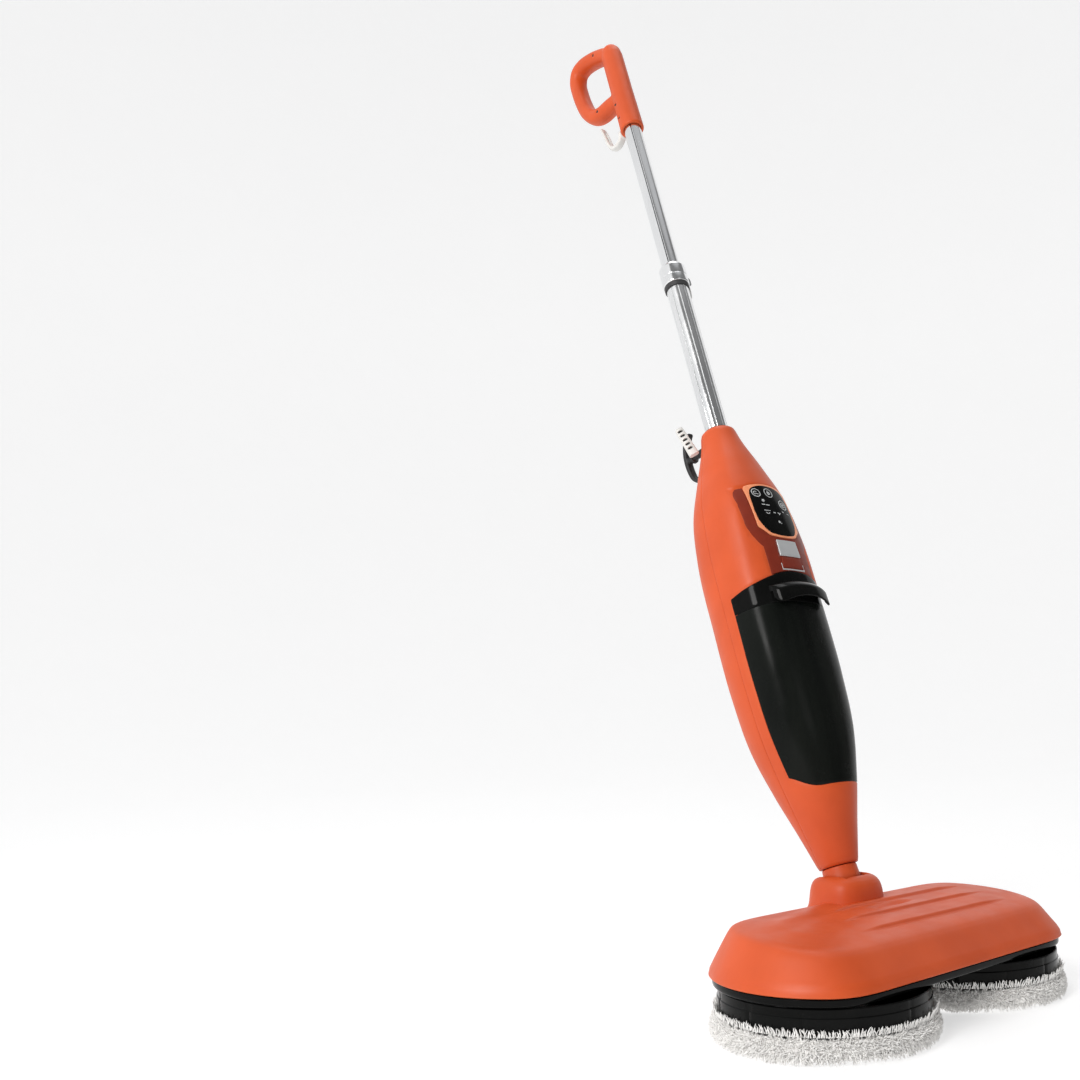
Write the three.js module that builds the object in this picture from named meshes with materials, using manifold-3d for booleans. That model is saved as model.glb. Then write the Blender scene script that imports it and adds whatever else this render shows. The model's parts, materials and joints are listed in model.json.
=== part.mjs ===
// Electric spin-pad steam mop: a floor head with two turning pads, a hinged and steering neck, a body with
// water tank and boiler, and a telescopic handle. Millimetres, +Z up, -Y is the front, the floor is z = 0.
import * as THREE from 'three';
import { mergeVertices } from 'three/addons/utils/BufferGeometryUtils.js';
import Module from 'manifold-3d';

const wasm = await Module();
wasm.setup();

// ---------------------------------------------------------------- driving dimensions
const gap = 0.3;

const pad = { spacing: 110, radius: 107, thickness: 24, lip: 3.5, recess: 99.2 };
const skirt = { radius: 98, bottom: 20.8, top: 44.6, wall: 2.6, floor: 3, hubRadius: 12 };
const spindle = { radius: 6, top: 66, collar: 9 };
const gears = { module: 2.25, driveTeeth: 30, pinionTeeth: 10, bottom: 55, top: 62, backlash: 0.4 };
const tray = { radius: 101.5, halfDepth: 86.5, bottom: 45.2, floor: 3, wall: 6, top: 53.7 };
const cover = { radius: 105, halfDepth: 90, rim: 54, crease: 90.5, slope: 0.085, wall: 2.6 };
const scoop = { halfX: 30, halfY: 8, depth: 3, x: 6, y: -8, rise: 4.6 };
const turret = { halfWidth: 35.5, halfDepth: 31, y: 61, base: 84, top: 124, corner: 14 };
const slot = { floor: 100.5, half: 19.6, front: 42, rearHalf: 23.8, rearFront: 68, back: 100 };
const motor = { radius: 26, bottom: 65.6, top: 85, boss: 6, bossTop: 87, shaft: 2 };
const plate = { halfLength: 150, front: -60, back: 44, bottom: 63.2, top: 65.3, post: 3.5, mouth: 7 };
const platePosts = [[40, 20], [142, 34]];
const nozzle = { halfX: 12, halfY: 8, bottom: 40.5, flange: 4, seat: 48.6, top: 52 };
const spout = { radius: 5, bore: 2.5, top: 60 };
const bracket = { ear: 7.8, front: 52, back: 71.5, base: 55, outer: 25, inner: 20, foot: 30, footTop: 56 };

const pivot = { y: 63, z: 110, pinRadius: 4, halfWidth: 19 };
const lean = THREE.MathUtils.degToRad(18.3);
const neck = { foot: 15, radius: 18, shoulder: 6, top: 21.5, barrel: 11, bore: 7 };
const spigot = { radius: 11.5, top: 44 };

const body = { bottom: 22, top: 549, seam: 8, wall: 2.6 };
const tank = { back: -6, half: 68, top: 318, crown: 355, side: 158, foot: 100.5, wall: 2.4 };
const lid = { line: 300, lipHalf: 36 };
const valve = { height: 118, stem: 4, port: 5, head: 4.4 };
const panel = { halfWidth: 30, bottom: 381, top: 446, crown: 452, frame: 1.8, frameSide: 3.6 };
const trim = { halfWidth: 45, waist: 34, bottom: 300, top: 443, shoulder: 381, step: 367 };
const button = { halfWidth: 15, silver: [356, 374], red: [341, 353.5] };
const board = { halfWidth: 26, front: -36.5, back: -35, bottom: 352, top: 440 };
const boiler = { y: 27, radius: 21, bottom: 190, top: 286, dome: 14, rise: 8 };
const boilerPorts = { radius: 4, inlet: 172, outlet: 304 };
const pump = { halfWidth: 17, front: 4, back: 34, bottom: 104, top: 140 };
const pumpBarrel = { radius: 9, y: 19, inlet: 92, outlet: 152 };

const lowerTube = { radius: 14.3, wall: 1.5, bottom: 470, top: 776, flute: 0.7, flutes: 10 };
const upperTube = { radius: 11.8, wall: 1.4, bottom: 722, top: 1092, groove: 1.1, grooveAngle: 215 };
const bush = { bottom: 708, bore: 8.5 };
const clamp = { radius: 17.4, bottom: 766, top: 796 };
const lever = { x: 19.6, height: 776, pin: 1.6, thickness: 6, lugHalf: 7, slotHalf: 3.4 };
const hook = { z: 540, stem: 4.5, upperZ: 1040 };
const grip = { radius: 15.6, bottom: 1031, waist: 1110, top: 1183 };
const boot = { base: 7.5, tip: 6.2, length: 42, half: 4.5, bore: 2.6 };
const bootPlace = { foot: [-22.4, 25.1, 528], heading: [-9.5, 10.8, 53], turn: -50 };
const bootSlots = { count: 5, width: 3, first: 8, pitch: 6.4, half: 4, inner: 1.6 };

// ---------------------------------------------------------------- colours
const orange = { color: 0xd9562b, roughness: 0.55, metalness: 0 };
const black = { color: 0x0b0b0d, roughness: 0.16, metalness: 0 };
const darkPlastic = { color: 0x1c1c1f, roughness: 0.6, metalness: 0 };
const smoke = { color: 0x15171a, roughness: 0.08, metalness: 0 };
const maroon = { color: 0x6e241a, roughness: 0.4, metalness: 0 };
const peach = { color: 0xf09058, roughness: 0.4, metalness: 0 };
const silver = { color: 0xb9babb, roughness: 0.35, metalness: 0.6 };
const chrome = { color: 0xd4d6d8, roughness: 0.18, metalness: 1 };
const steel = { color: 0x9a9c9f, roughness: 0.4, metalness: 1 };
const whitePlastic = { color: 0xdad7cf, roughness: 0.55, metalness: 0 };
const nylon = { color: 0xe6e1d4, roughness: 0.6, metalness: 0 };
const cloth = { color: 0xd9d6d4, roughness: 1, metalness: 0 };
const rubber = { color: 0x232325, roughness: 0.9, metalness: 0 };
const circuit = { color: 0x1f5a34, roughness: 0.5, metalness: 0 };
const aluminium = { color: 0xb2b5b8, roughness: 0.45, metalness: 1 };

// ---------------------------------------------------------------- solids
function solid(geometry) {
  const bare = geometry.clone();
  bare.deleteAttribute('normal');
  bare.deleteAttribute('uv');
  const merged = mergeVertices(bare, 1e-4);
  return new wasm.Manifold(new wasm.Mesh({
    numProp: 3,
    vertProperties: new Float32Array(merged.attributes.position.array),
    triVerts: new Uint32Array(merged.index.array),
  }));
}

function surface(shape) {
  const mesh = shape.getMesh();
  const geometry = new THREE.BufferGeometry();
  geometry.setAttribute('position', new THREE.BufferAttribute(new Float32Array(mesh.vertProperties), 3));
  geometry.setIndex(Array.from(mesh.triVerts));
  geometry.computeVertexNormals();
  return geometry;
}

function block(x0, x1, y0, y1, z0, z1) {
  const box = new THREE.BoxGeometry(x1 - x0, y1 - y0, z1 - z0);
  return solid(box.translate((x0 + x1) / 2, (y0 + y1) / 2, (z0 + z1) / 2));
}

// an upright round bar from z0 to z1
function bar(radius, z0, z1, x = 0, y = 0, sides = 24, topRadius = radius) {
  const rod = new THREE.CylinderGeometry(topRadius, radius, z1 - z0, sides);
  return solid(rod.rotateX(Math.PI / 2).translate(x, y, (z0 + z1) / 2));
}

// a round bar along X from x0 to x1
function crossBar(radius, x0, x1, y, z, sides = 20) {
  const rod = new THREE.CylinderGeometry(radius, radius, x1 - x0, sides);
  return solid(rod.rotateZ(Math.PI / 2).translate((x0 + x1) / 2, y, z));
}

// a round bar along Y from y0 to y1
function depthBar(radius, y0, y1, x, z, sides = 16) {
  const rod = new THREE.CylinderGeometry(radius, radius, y1 - y0, sides);
  return solid(rod.translate(x, (y0 + y1) / 2, z));
}

// a body of revolution about Z from [radius, height] pairs that start and end on the axis or close up
function turned(profile, sides = 40) {
  const points = profile.map(([radius, height]) => new THREE.Vector2(radius, height));
  return solid(new THREE.LatheGeometry(points, sides).rotateX(Math.PI / 2));
}

// closed skin over a stack of rings; every ring runs anticlockwise seen from above
function loft(rings) {
  const count = rings[0].length;
  const positions = rings.flat().flatMap((point) => [point.x, point.y, point.z]);
  const faces = [];
  for (let level = 0; level + 1 < rings.length; level += 1) {
    for (let step = 0; step < count; step += 1) {
      const next = (step + 1) % count;
      const low = level * count;
      const high = low + count;
      faces.push(low + step, low + next, high + next, low + step, high + next, high + step);
    }
  }
  for (const [level, flip] of [[0, true], [rings.length - 1, false]]) {
    const centre = new THREE.Vector3();
    rings[level].forEach((point) => centre.addScaledVector(point, 1 / count));
    const hub = positions.length / 3;
    positions.push(centre.x, centre.y, centre.z);
    for (let step = 0; step < count; step += 1) {
      const here = level * count + step;
      const next = level * count + ((step + 1) % count);
      faces.push(...(flip ? [hub, next, here] : [hub, here, next]));
    }
  }
  const geometry = new THREE.BufferGeometry();
  geometry.setAttribute('position', new THREE.BufferAttribute(new Float32Array(positions), 3));
  geometry.setIndex(faces);
  return solid(geometry);
}

// an outline in (x, height) pushed back along +Y from y0 to y1
function prism(shape, y0, y1, curveSegments = 7) {
  const slab = new THREE.ExtrudeGeometry(shape, { depth: y1 - y0, bevelEnabled: false, curveSegments });
  return solid(slab.rotateX(Math.PI / 2).translate(0, y1, 0));
}

// an outline in (y, height) pushed along +X from x0 to x1
function sidePrism(shape, x0, x1, curveSegments = 10) {
  const slab = new THREE.ExtrudeGeometry(shape, { depth: x1 - x0, bevelEnabled: false, curveSegments });
  return solid(slab.rotateX(Math.PI / 2).rotateZ(Math.PI / 2).translate(x0, 0, 0));
}

function upright(shape, z0, z1, curveSegments = 10) {
  const slab = new THREE.ExtrudeGeometry(shape, { depth: z1 - z0, bevelEnabled: false, curveSegments });
  return solid(slab.translate(0, 0, z0));
}

// a bar of oval section swept through points
function swept(points, halfAcross, halfIn, steps, sides = 12) {
  const path = new THREE.CatmullRomCurve3(points.map((point) => new THREE.Vector3(...point)));
  const section = new THREE.Shape();
  for (let side = 0; side < sides; side += 1) {
    const angle = (side / sides) * 2 * Math.PI;
    const corner = [halfAcross * Math.cos(angle), halfIn * Math.sin(angle)];
    if (side === 0) section.moveTo(...corner);
    else section.lineTo(...corner);
  }
  section.closePath();
  return solid(new THREE.ExtrudeGeometry(section, { steps, bevelEnabled: false, extrudePath: path }));
}

function shapeOf(points) {
  return new THREE.Shape(points.map(([across, up]) => new THREE.Vector2(across, up)));
}

function part(name, shape, finish) {
  const mesh = new THREE.Mesh(surface(shape), new THREE.MeshStandardMaterial(finish));
  mesh.name = name;
  return mesh;
}

// ---------------------------------------------------------------- floor head
// plan of the head: round ends about the two pad centres, clipped flat at front and back
function headRing(radius, front, back, height) {
  const ring = [];
  const arcSteps = 10;
  for (const side of [1, -1]) {
    const low = side > 0 ? -Math.asin(front / radius) : Math.asin(back / radius);
    const high = side > 0 ? Math.asin(back / radius) : -Math.asin(front / radius);
    for (let step = 0; step <= arcSteps; step += 1) {
      const angle = low + ((high - low) * step) / arcSteps;
      const x = side * (pad.spacing + radius * Math.cos(angle));
      const y = radius * Math.sin(angle);
      ring.push(new THREE.Vector3(x, y, height(y)));
    }
  }
  return ring;
}

function coverTop(y) {
  return cover.crease + cover.slope * y;
}

function coverLoft(inset, floor) {
  const rings = [
    headRing(cover.radius - inset, cover.halfDepth - inset, cover.halfDepth - inset, () => floor),
    headRing(cover.radius - 3 - inset, cover.halfDepth - 3 - inset, cover.halfDepth - 3 - inset, () => 64),
    headRing(87 - inset, 70 - inset, 66 - inset, (y) => coverTop(y) - 3 - inset),
    headRing(79 - inset, 63 - inset, 60 - inset, (y) => coverTop(y) + 1.5 - inset),
    headRing(44 - inset, 40 - inset, 38 - inset, (y) => coverTop(y) + 5 - inset),
  ];
  return loft(rings);
}

function roundedRing(halfX, halfY, corner, y0, z) {
  const ring = [];
  for (const [sx, sy, start] of [[1, 1, 0], [-1, 1, 1], [-1, -1, 2], [1, -1, 3]]) {
    for (let step = 0; step <= 4; step += 1) {
      const angle = ((start + step / 4) * Math.PI) / 2;
      const x = sx * (halfX - corner) + corner * Math.cos(angle);
      const y = y0 + sy * (halfY - corner) + corner * Math.sin(angle);
      ring.push(new THREE.Vector3(x, y, z));
    }
  }
  return ring;
}

function turretLoft(inset, base) {
  const top = turret.top - inset;
  const halfX = turret.halfWidth - inset;
  const halfY = turret.halfDepth - inset;
  return loft([
    roundedRing(halfX + 2, halfY + 1, turret.corner, turret.y, base),
    roundedRing(halfX, halfY, turret.corner, turret.y, top - 10),
    roundedRing(halfX - 2, halfY - 2, turret.corner - 1, turret.y, top - 4),
    roundedRing(halfX - 7, halfY - 7, turret.corner - 4, turret.y, top),
  ]);
}

function headCover() {
  const outside = coverLoft(0, cover.rim).add(turretLoft(0, turret.base));
  const inside = coverLoft(cover.wall, cover.rim - 1).add(turretLoft(cover.wall, turret.base - 4));
  const above = turret.top + 1;
  const opening = block(-slot.half, slot.half, slot.front, slot.back, slot.floor, above)
    .add(block(-slot.rearHalf, slot.rearHalf, slot.rearFront, slot.back, slot.floor, above));
  const bowl = new THREE.SphereGeometry(1, 20, 12).scale(scoop.halfX, scoop.halfY, scoop.depth);
  const hollow = solid(bowl.translate(scoop.x, scoop.y, coverTop(scoop.y) + scoop.rise));
  const shell = outside.subtract(inside).subtract(opening);
  return part('head_cover', shell.subtract(hollow.intersect(coverLoft(-1, cover.rim))), orange);
}

function chassisTray() {
  const innerDepth = tray.halfDepth - tray.wall;
  const outside = loft([
    headRing(tray.radius - 4, tray.halfDepth - 4, tray.halfDepth - 4, () => tray.bottom),
    headRing(tray.radius, tray.halfDepth, tray.halfDepth, () => tray.bottom + 3),
    headRing(tray.radius, tray.halfDepth, tray.halfDepth, () => tray.top),
  ]);
  const inside = loft([
    headRing(tray.radius - tray.wall, innerDepth, innerDepth, () => tray.bottom + tray.floor),
    headRing(tray.radius - tray.wall, innerDepth, innerDepth, () => tray.top + 1),
  ]);
  let shell = outside.subtract(inside);
  for (const side of [-1, 1]) {
    shell = shell.subtract(bar(spindle.collar + gap, 40, 52, side * pad.spacing, 0, 24));
  }
  const halfX = nozzle.halfX + 1;
  const halfY = nozzle.halfY + 1;
  return part('chassis_tray', shell.subtract(block(-halfX, halfX, -halfY, halfY, 40, 52)), black);
}

function gearOutline(teeth, shift) {
  const pitchRadius = (gears.module * teeth) / 2;
  const rootRadius = pitchRadius - 1.25 * gears.module;
  const tipRadius = pitchRadius + 0.85 * gears.module;
  const pitch = (2 * Math.PI) / teeth;
  const flank = [[rootRadius, -0.33], [tipRadius, -0.1], [tipRadius, 0.1], [rootRadius, 0.33]];
  const points = [];
  for (let tooth = 0; tooth < teeth; tooth += 1) {
    const centre = (tooth + shift) * pitch;
    for (const [radius, offset] of flank) {
      const angle = centre + offset * pitch;
      points.push([radius * Math.cos(angle), radius * Math.sin(angle)]);
    }
  }
  return shapeOf(points);
}

function driveGear(side) {
  const x = side * pad.spacing;
  const wheel = upright(gearOutline(gears.driveTeeth, 0), gears.bottom, gears.top).translate([x, 0, 0]);
  const hole = bar(spindle.radius + gap, gears.bottom - 1, gears.top + 1, x, 0, 20);
  return part(`${sideName(side)}_drive_gear`, wheel.subtract(hole), nylon);
}

function sideName(side) {
  return side < 0 ? 'left' : 'right';
}

const pinionX = pad.spacing - (gears.module * (gears.driveTeeth + gears.pinionTeeth)) / 2 - gears.backlash;

function pinion(side) {
  const x = side * pinionX;
  const wheel = upright(gearOutline(gears.pinionTeeth, 0.5), gears.bottom, gears.top).translate([x, 0, 0]);
  const shaft = bar(motor.shaft, gears.top - 1, gears.top + 9, x, 0, 12);
  return part(`${sideName(side)}_motor_pinion`, wheel.add(shaft), steel);
}

function driveMotor(side) {
  const x = side * pinionX;
  const can = bar(motor.radius, motor.bottom, motor.top, x, 0, 32);
  const boss = bar(motor.boss, motor.top - 1, motor.bossTop, x, 0, 16);
  const bore = bar(motor.shaft + gap, motor.bottom - 1, gears.top + 10, x, 0, 12);
  return part(`${sideName(side)}_drive_motor`, can.add(boss).subtract(bore), steel);
}

// the steel plate carries the motors and weighs the head down
function gearPlate() {
  const low = plate.bottom - 1;
  const high = plate.top + 1;
  let shape = block(-plate.halfLength, plate.halfLength, plate.front, plate.back, plate.bottom, plate.top);
  for (const side of [-1, 1]) {
    shape = shape.subtract(bar(spindle.radius + 2 * gap, low, high, side * pad.spacing, 0, 20));
    shape = shape.subtract(bar(motor.shaft + 3, low, high, side * pinionX, 0, 12));
    for (const [x, y] of platePosts) {
      shape = shape.add(bar(plate.post, tray.bottom + tray.floor + gap, plate.bottom + 1, side * x, y, 8));
      shape = shape.add(bar(plate.post, tray.bottom + tray.floor + gap, plate.bottom + 1, side * x, -y, 8));
    }
  }
  const mouth = block(-plate.mouth, plate.mouth, -plate.mouth, plate.mouth + 5, low, high);
  return part('gear_plate', shape.subtract(mouth), steel);
}

function spindleBush(side) {
  const x = side * pad.spacing;
  const ring = bar(spindle.collar, 45.4, 51, x, 0, 18).add(bar(13, 48.5, 53, x, 0, 18));
  const bore = bar(spindle.radius + gap, 40, 60, x, 0, 16);
  return part(`${sideName(side)}_spindle_bush`, ring.subtract(bore), nylon);
}

function padSpindle(side) {
  const x = side * pad.spacing;
  const post = bar(spindle.radius, skirt.bottom + skirt.floor + gap, spindle.top, x, 0, 20);
  return part(`${sideName(side)}_pad_spindle`, post, steel);
}

function padDisc(side) {
  const outer = skirt.radius;
  const floorTop = skirt.bottom + skirt.floor;
  const profile = [
    [0, skirt.bottom], [outer, skirt.bottom], [outer, skirt.top], [outer - skirt.wall, skirt.top],
    [outer - skirt.wall, floorTop], [skirt.hubRadius, floorTop], [skirt.hubRadius - 2, 40],
    [spindle.radius + gap, 40], [spindle.radius + gap, floorTop], [0, floorTop],
  ];
  return part(`${sideName(side)}_pad_disc`, turned(profile, 36).translate([side * pad.spacing, 0, 0]), black);
}

function mopPad(side) {
  const top = pad.thickness + pad.lip;
  const profile = [
    [0, 0], [pad.radius - 9, 0], [pad.radius - 2, 4], [pad.radius, 12], [pad.radius - 4, top - 1],
    [pad.recess, top], [pad.recess, skirt.bottom - gap], [0, skirt.bottom - gap],
  ];
  return part(`${sideName(side)}_mop_pad`, turned(profile, 36).translate([side * pad.spacing, 0, 0]), cloth);
}

function steamNozzle() {
  const wideX = nozzle.halfX + nozzle.flange;
  const wideY = nozzle.halfY + nozzle.flange;
  const { halfX, halfY } = nozzle;
  const mouth = block(-halfX, halfX, -halfY, halfY, nozzle.bottom, nozzle.top - 1);
  const flange = block(-wideX, wideX, -wideY, wideY, nozzle.seat, nozzle.top);
  const pipe = bar(spout.radius, nozzle.top - 1, spout.top, 0, 0, 16);
  const bore = bar(spout.bore, nozzle.bottom - 1, spout.top + 1, 0, 0, 12);
  return part('steam_nozzle', mouth.add(flange).add(pipe).subtract(bore), whitePlastic);
}

function headHose() {
  const route = [[0, 0, 60.4], [0, 0.6, 66], [0, 8, 73], [0, 24, 78], [0, 38, 84], [0, 46, 91]];
  return part('head_steam_hose', swept(route, 3.5, 3.5, 12, 8), rubber);
}

function pivotBracket() {
  const outline = new THREE.Shape();
  outline.moveTo(bracket.front, bracket.base);
  outline.lineTo(bracket.back, bracket.base);
  outline.absarc(pivot.y, pivot.z, bracket.ear, 0, Math.PI, false);
  outline.closePath();
  const ears = sidePrism(outline, -bracket.outer, bracket.outer, 8);
  const between = block(-bracket.inner, bracket.inner, 30, 96, 78, 125);
  const sole = tray.bottom + tray.floor + gap;
  const feet = block(-bracket.foot, bracket.foot, bracket.front - 6, bracket.back, sole, bracket.footTop);
  const bore = crossBar(pivot.pinRadius + gap, -40, 40, pivot.y, pivot.z, 20);
  return part('pivot_bracket', ears.subtract(between).add(feet).subtract(bore), darkPlastic);
}

function pivotPin() {
  const pin = crossBar(pivot.pinRadius, -27, 27, pivot.y, pivot.z, 20);
  return part('pivot_pin', pin.add(crossBar(6, 25.4, 27.4, pivot.y, pivot.z, 16)), steel);
}

// ---------------------------------------------------------------- neck, in the wand's own frame
function neckLink(side) {
  const cone = bar(neck.foot, -2, neck.shoulder, 0, 0, 28, neck.radius);
  const stem = cone.add(bar(neck.radius, neck.shoulder, neck.top, 0, 0, 28));
  let shape = stem.add(crossBar(neck.barrel, -pivot.halfWidth, pivot.halfWidth, 0, 0, 24));
  shape = shape.subtract(crossBar(pivot.pinRadius + gap, -40, 40, 0, 0, 20));
  shape = shape.subtract(bar(neck.bore + gap, 8, 40, 0, 0, 20));
  const half = side < 0 ? block(-30, -gap / 2, -30, 30, -30, 60) : block(gap / 2, 30, -30, 30, -30, 60);
  return part(side < 0 ? 'neck_link_left' : 'neck_link_right', shape.intersect(half), orange);
}

function swivelSpigot() {
  const step = neck.top + gap;
  const profile = [
    [3.5, 9], [neck.bore, 9], [neck.bore, step],
    [spigot.radius + 2.5, step], [spigot.radius + 2.5, step + 2.8],
    [spigot.radius, step + 2.8], [spigot.radius, spigot.top], [spigot.radius + 2, spigot.top + 0.6],
    [spigot.radius + 1, spigot.top + 5], [3.5, spigot.top + 5], [3.5, 9],
  ];
  return part('swivel_spigot', turned(profile, 20), darkPlastic);
}

function swivelBush() {
  const profile = [
    [spigot.radius + gap, 26], [spigot.radius + 4.5, 26], [spigot.radius + 4.5, spigot.top - gap],
    [spigot.radius + gap, spigot.top - gap], [spigot.radius + gap, 26],
  ];
  return part('swivel_bush', turned(profile, 20), nylon);
}

// ---------------------------------------------------------------- body shell form
const bodyHeights = [22, 60, 110, 160, 220, 300, 390, 440, 490, 528, 549];
const bodyHalves = [21, 31.5, 46, 57.5, 62.5, 63.5, 61.5, 54.5, 38, 25, 20.5];
const bodyCurve = new THREE.CatmullRomCurve3(
  bodyHeights.map((height, index) => new THREE.Vector3(bodyHalves[index], 0, height)),
  false, 'centripetal',
);

// the oval section of the body: boxier and a little shallower in front where it is widest
function bodyRing(point, inset, height) {
  const half = point.x;
  const fullness = THREE.MathUtils.clamp((half - 21) / 43, 0, 1);
  const halfWidth = half * (1 - 0.03 * fullness) - inset;
  const front = half * (1 - 0.14 * fullness) - inset;
  const back = half * (1 - 0.06 * fullness) - inset;
  const power = 2 / (2 + 0.5 * fullness);
  const ring = [];
  const sides = 28;
  for (let side = 0; side < sides; side += 1) {
    const angle = (side / sides) * 2 * Math.PI;
    const cosine = Math.cos(angle);
    const sine = Math.sin(angle);
    const depth = sine < 0 ? front : back;
    const x = Math.sign(cosine) * halfWidth * Math.abs(cosine) ** power;
    const y = Math.sign(sine) * depth * Math.abs(sine) ** power;
    ring.push(new THREE.Vector3(x, y, height));
  }
  return ring;
}

function bodyLoft(inset, endInset = 0) {
  const levels = 14;
  const rings = [];
  for (let level = 0; level <= levels; level += 1) {
    const point = bodyCurve.getPoint(level / levels);
    let height = point.z;
    if (level === 0) height += endInset;
    if (level === levels) height -= endInset;
    rings.push(bodyRing(point, inset, height));
  }
  return loft(rings);
}

const bodyOutside = bodyLoft(0);
const bodyInside = bodyLoft(body.wall, -1);
const bodyWall = bodyOutside.subtract(bodyInside);

function tankOutline(margin) {
  const outline = new THREE.Shape();
  outline.moveTo(tank.half, tank.top + margin);
  outline.quadraticCurveTo(0, tank.crown + margin * 2, -tank.half, tank.top + margin);
  outline.lineTo(-tank.half, tank.side);
  outline.bezierCurveTo(-48 - margin, 128, -48 - margin, tank.foot - margin, -26, tank.foot - margin);
  outline.lineTo(26, tank.foot - margin);
  outline.bezierCurveTo(48 + margin, tank.foot - margin, 48 + margin, 128, tank.half, tank.side);
  outline.closePath();
  return outline;
}

function panelOutline(margin, side = margin) {
  const half = panel.halfWidth + side;
  const outline = new THREE.Shape();
  outline.moveTo(-half, panel.top - 4);
  outline.lineTo(-half, panel.bottom + 12);
  outline.lineTo(-half + 12, panel.bottom + 1 - margin);
  outline.quadraticCurveTo(0, panel.bottom - 3 - margin, half - 12, panel.bottom + 1 - margin);
  outline.lineTo(half, panel.bottom + 12);
  outline.lineTo(half, panel.top - 4);
  outline.quadraticCurveTo(half - 2, panel.top + margin, half - 8, panel.top + 1 + margin);
  outline.quadraticCurveTo(0, panel.crown + 2 + margin, -half + 8, panel.top + 1 + margin);
  outline.quadraticCurveTo(-half + 2, panel.top + margin, -half, panel.top - 4);
  outline.closePath();
  return outline;
}

function trimOutline(margin) {
  const wide = trim.halfWidth + margin;
  const slim = trim.waist + margin;
  return shapeOf([
    [-slim, trim.bottom], [slim, trim.bottom], [slim, trim.step], [wide, trim.shoulder],
    [wide, trim.top + margin], [-wide, trim.top + margin], [-wide, trim.shoulder], [-slim, trim.step],
  ]);
}

const tankCut = prism(tankOutline(0), -80, tank.back);
const panelCut = prism(panelOutline(panel.frame + gap, panel.frameSide + gap), -80, -20);
const trimCut = prism(trimOutline(0), -80, -20);

function buttonPrism(range, margin) {
  const half = button.halfWidth + margin;
  return block(-half, half, -80, -20, range[0] - margin, range[1] + margin);
}

function rearShell() {
  let shell = bodyWall.intersect(block(-80, 80, body.seam + gap / 2, 90, 0, 600));
  const boss = depthBar(8, 20, 33, 0, hook.z, 16);
  shell = shell.add(boss.subtract(bar(21, 500, 560, 0, 0, 28)));
  shell = shell.subtract(depthBar(hook.stem + gap, 20, 60, 0, hook.z, 14));
  return part('rear_shell', shell, orange);
}

function frontShell() {
  let shell = bodyWall.intersect(block(-80, 80, -80, body.seam - gap / 2, 0, 600));
  shell = shell.subtract(tankCut).subtract(panelCut).subtract(trimCut);
  return part('front_shell', shell, orange);
}

function tankCradle() {
  const slab = block(-80, 80, tank.back + 0.6, tank.back + 2.8, 96, 340);
  const port = depthBar(valve.port, -20, 10, 0, valve.height, 16);
  return part('tank_cradle', slab.intersect(bodyLoft(body.wall + gap, -1)).subtract(port), darkPlastic);
}

const tankForm = bodyOutside.intersect(prism(tankOutline(-gap), -80, tank.back));
const tankInner = bodyLoft(tank.wall, 0)
  .intersect(prism(tankOutline(-gap - tank.wall), -80, tank.back - tank.wall));

function tankShell() {
  const above = block(-80, 80, -90, 0, lid.line - gap, 360);
  const outlet = depthBar(valve.stem, -20, 5, 0, valve.height, 16);
  return part('tank_shell', tankForm.subtract(tankInner).subtract(above).subtract(outlet), smoke);
}

function tankLid() {
  const band = tankForm.intersect(block(-80, 80, -90, 0, lid.line, 360));
  const hollow = tankInner.intersect(block(-80, 80, -90, 0, lid.line - 10, 360));
  const outline = new THREE.Shape();
  outline.moveTo(-44, 319);
  outline.lineTo(-60, 318);
  outline.quadraticCurveTo(-67.5, 315, -66, lid.line - 2);
  outline.lineTo(-63, lid.line - 2);
  outline.quadraticCurveTo(-62.5, 310, -58, 311);
  outline.lineTo(-44, 311);
  outline.closePath();
  const lip = sidePrism(outline, -lid.lipHalf, lid.lipHalf, 5).subtract(bodyLoft(1));
  return part('tank_lid', band.subtract(hollow).add(lip), black);
}

function tankValve() {
  const stem = depthBar(valve.stem - gap, -12, -3, 0, valve.height, 16);
  const head = depthBar(valve.head, -3.4, 2.4, 0, valve.height, 16);
  return part('tank_valve', stem.add(head), rubber);
}

function panelTrim() {
  let shape = bodyLoft(0.5).intersect(prism(trimOutline(-gap), -80, -20)).subtract(bodyLoft(3.4));
  shape = shape.subtract(panelCut).subtract(prism(tankOutline(gap), -80, tank.back));
  for (const range of [button.silver, button.red]) shape = shape.subtract(buttonPrism(range, gap));
  return part('panel_trim', shape, maroon);
}

function panelFrame() {
  const outline = panelOutline(panel.frame, panel.frameSide);
  const ring = bodyLoft(-0.7).intersect(prism(outline, -80, -20)).subtract(bodyLoft(2.6));
  return part('panel_frame', ring.subtract(prism(panelOutline(gap), -80, -20)), peach);
}

function panelLens() {
  const window = bodyLoft(-0.2).intersect(prism(panelOutline(0), -80, -20));
  return part('panel_lens', window.subtract(bodyLoft(2.2)), black);
}

function pressButton(name, range, finish, proud) {
  const cap = bodyLoft(-proud).intersect(buttonPrism(range, 0)).subtract(bodyLoft(4));
  return part(name, cap, finish);
}

function circuitBoard() {
  const sheet = block(-board.halfWidth, board.halfWidth, board.front, board.back, board.bottom, board.top);
  const relay = block(-18, -4, board.back - 0.2, board.back + 11, 372, 392);
  const chip = block(4, 16, board.back - 0.2, board.back + 3, 400, 412);
  return part('circuit_board', sheet.add(relay).add(chip), circuit);
}

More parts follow.
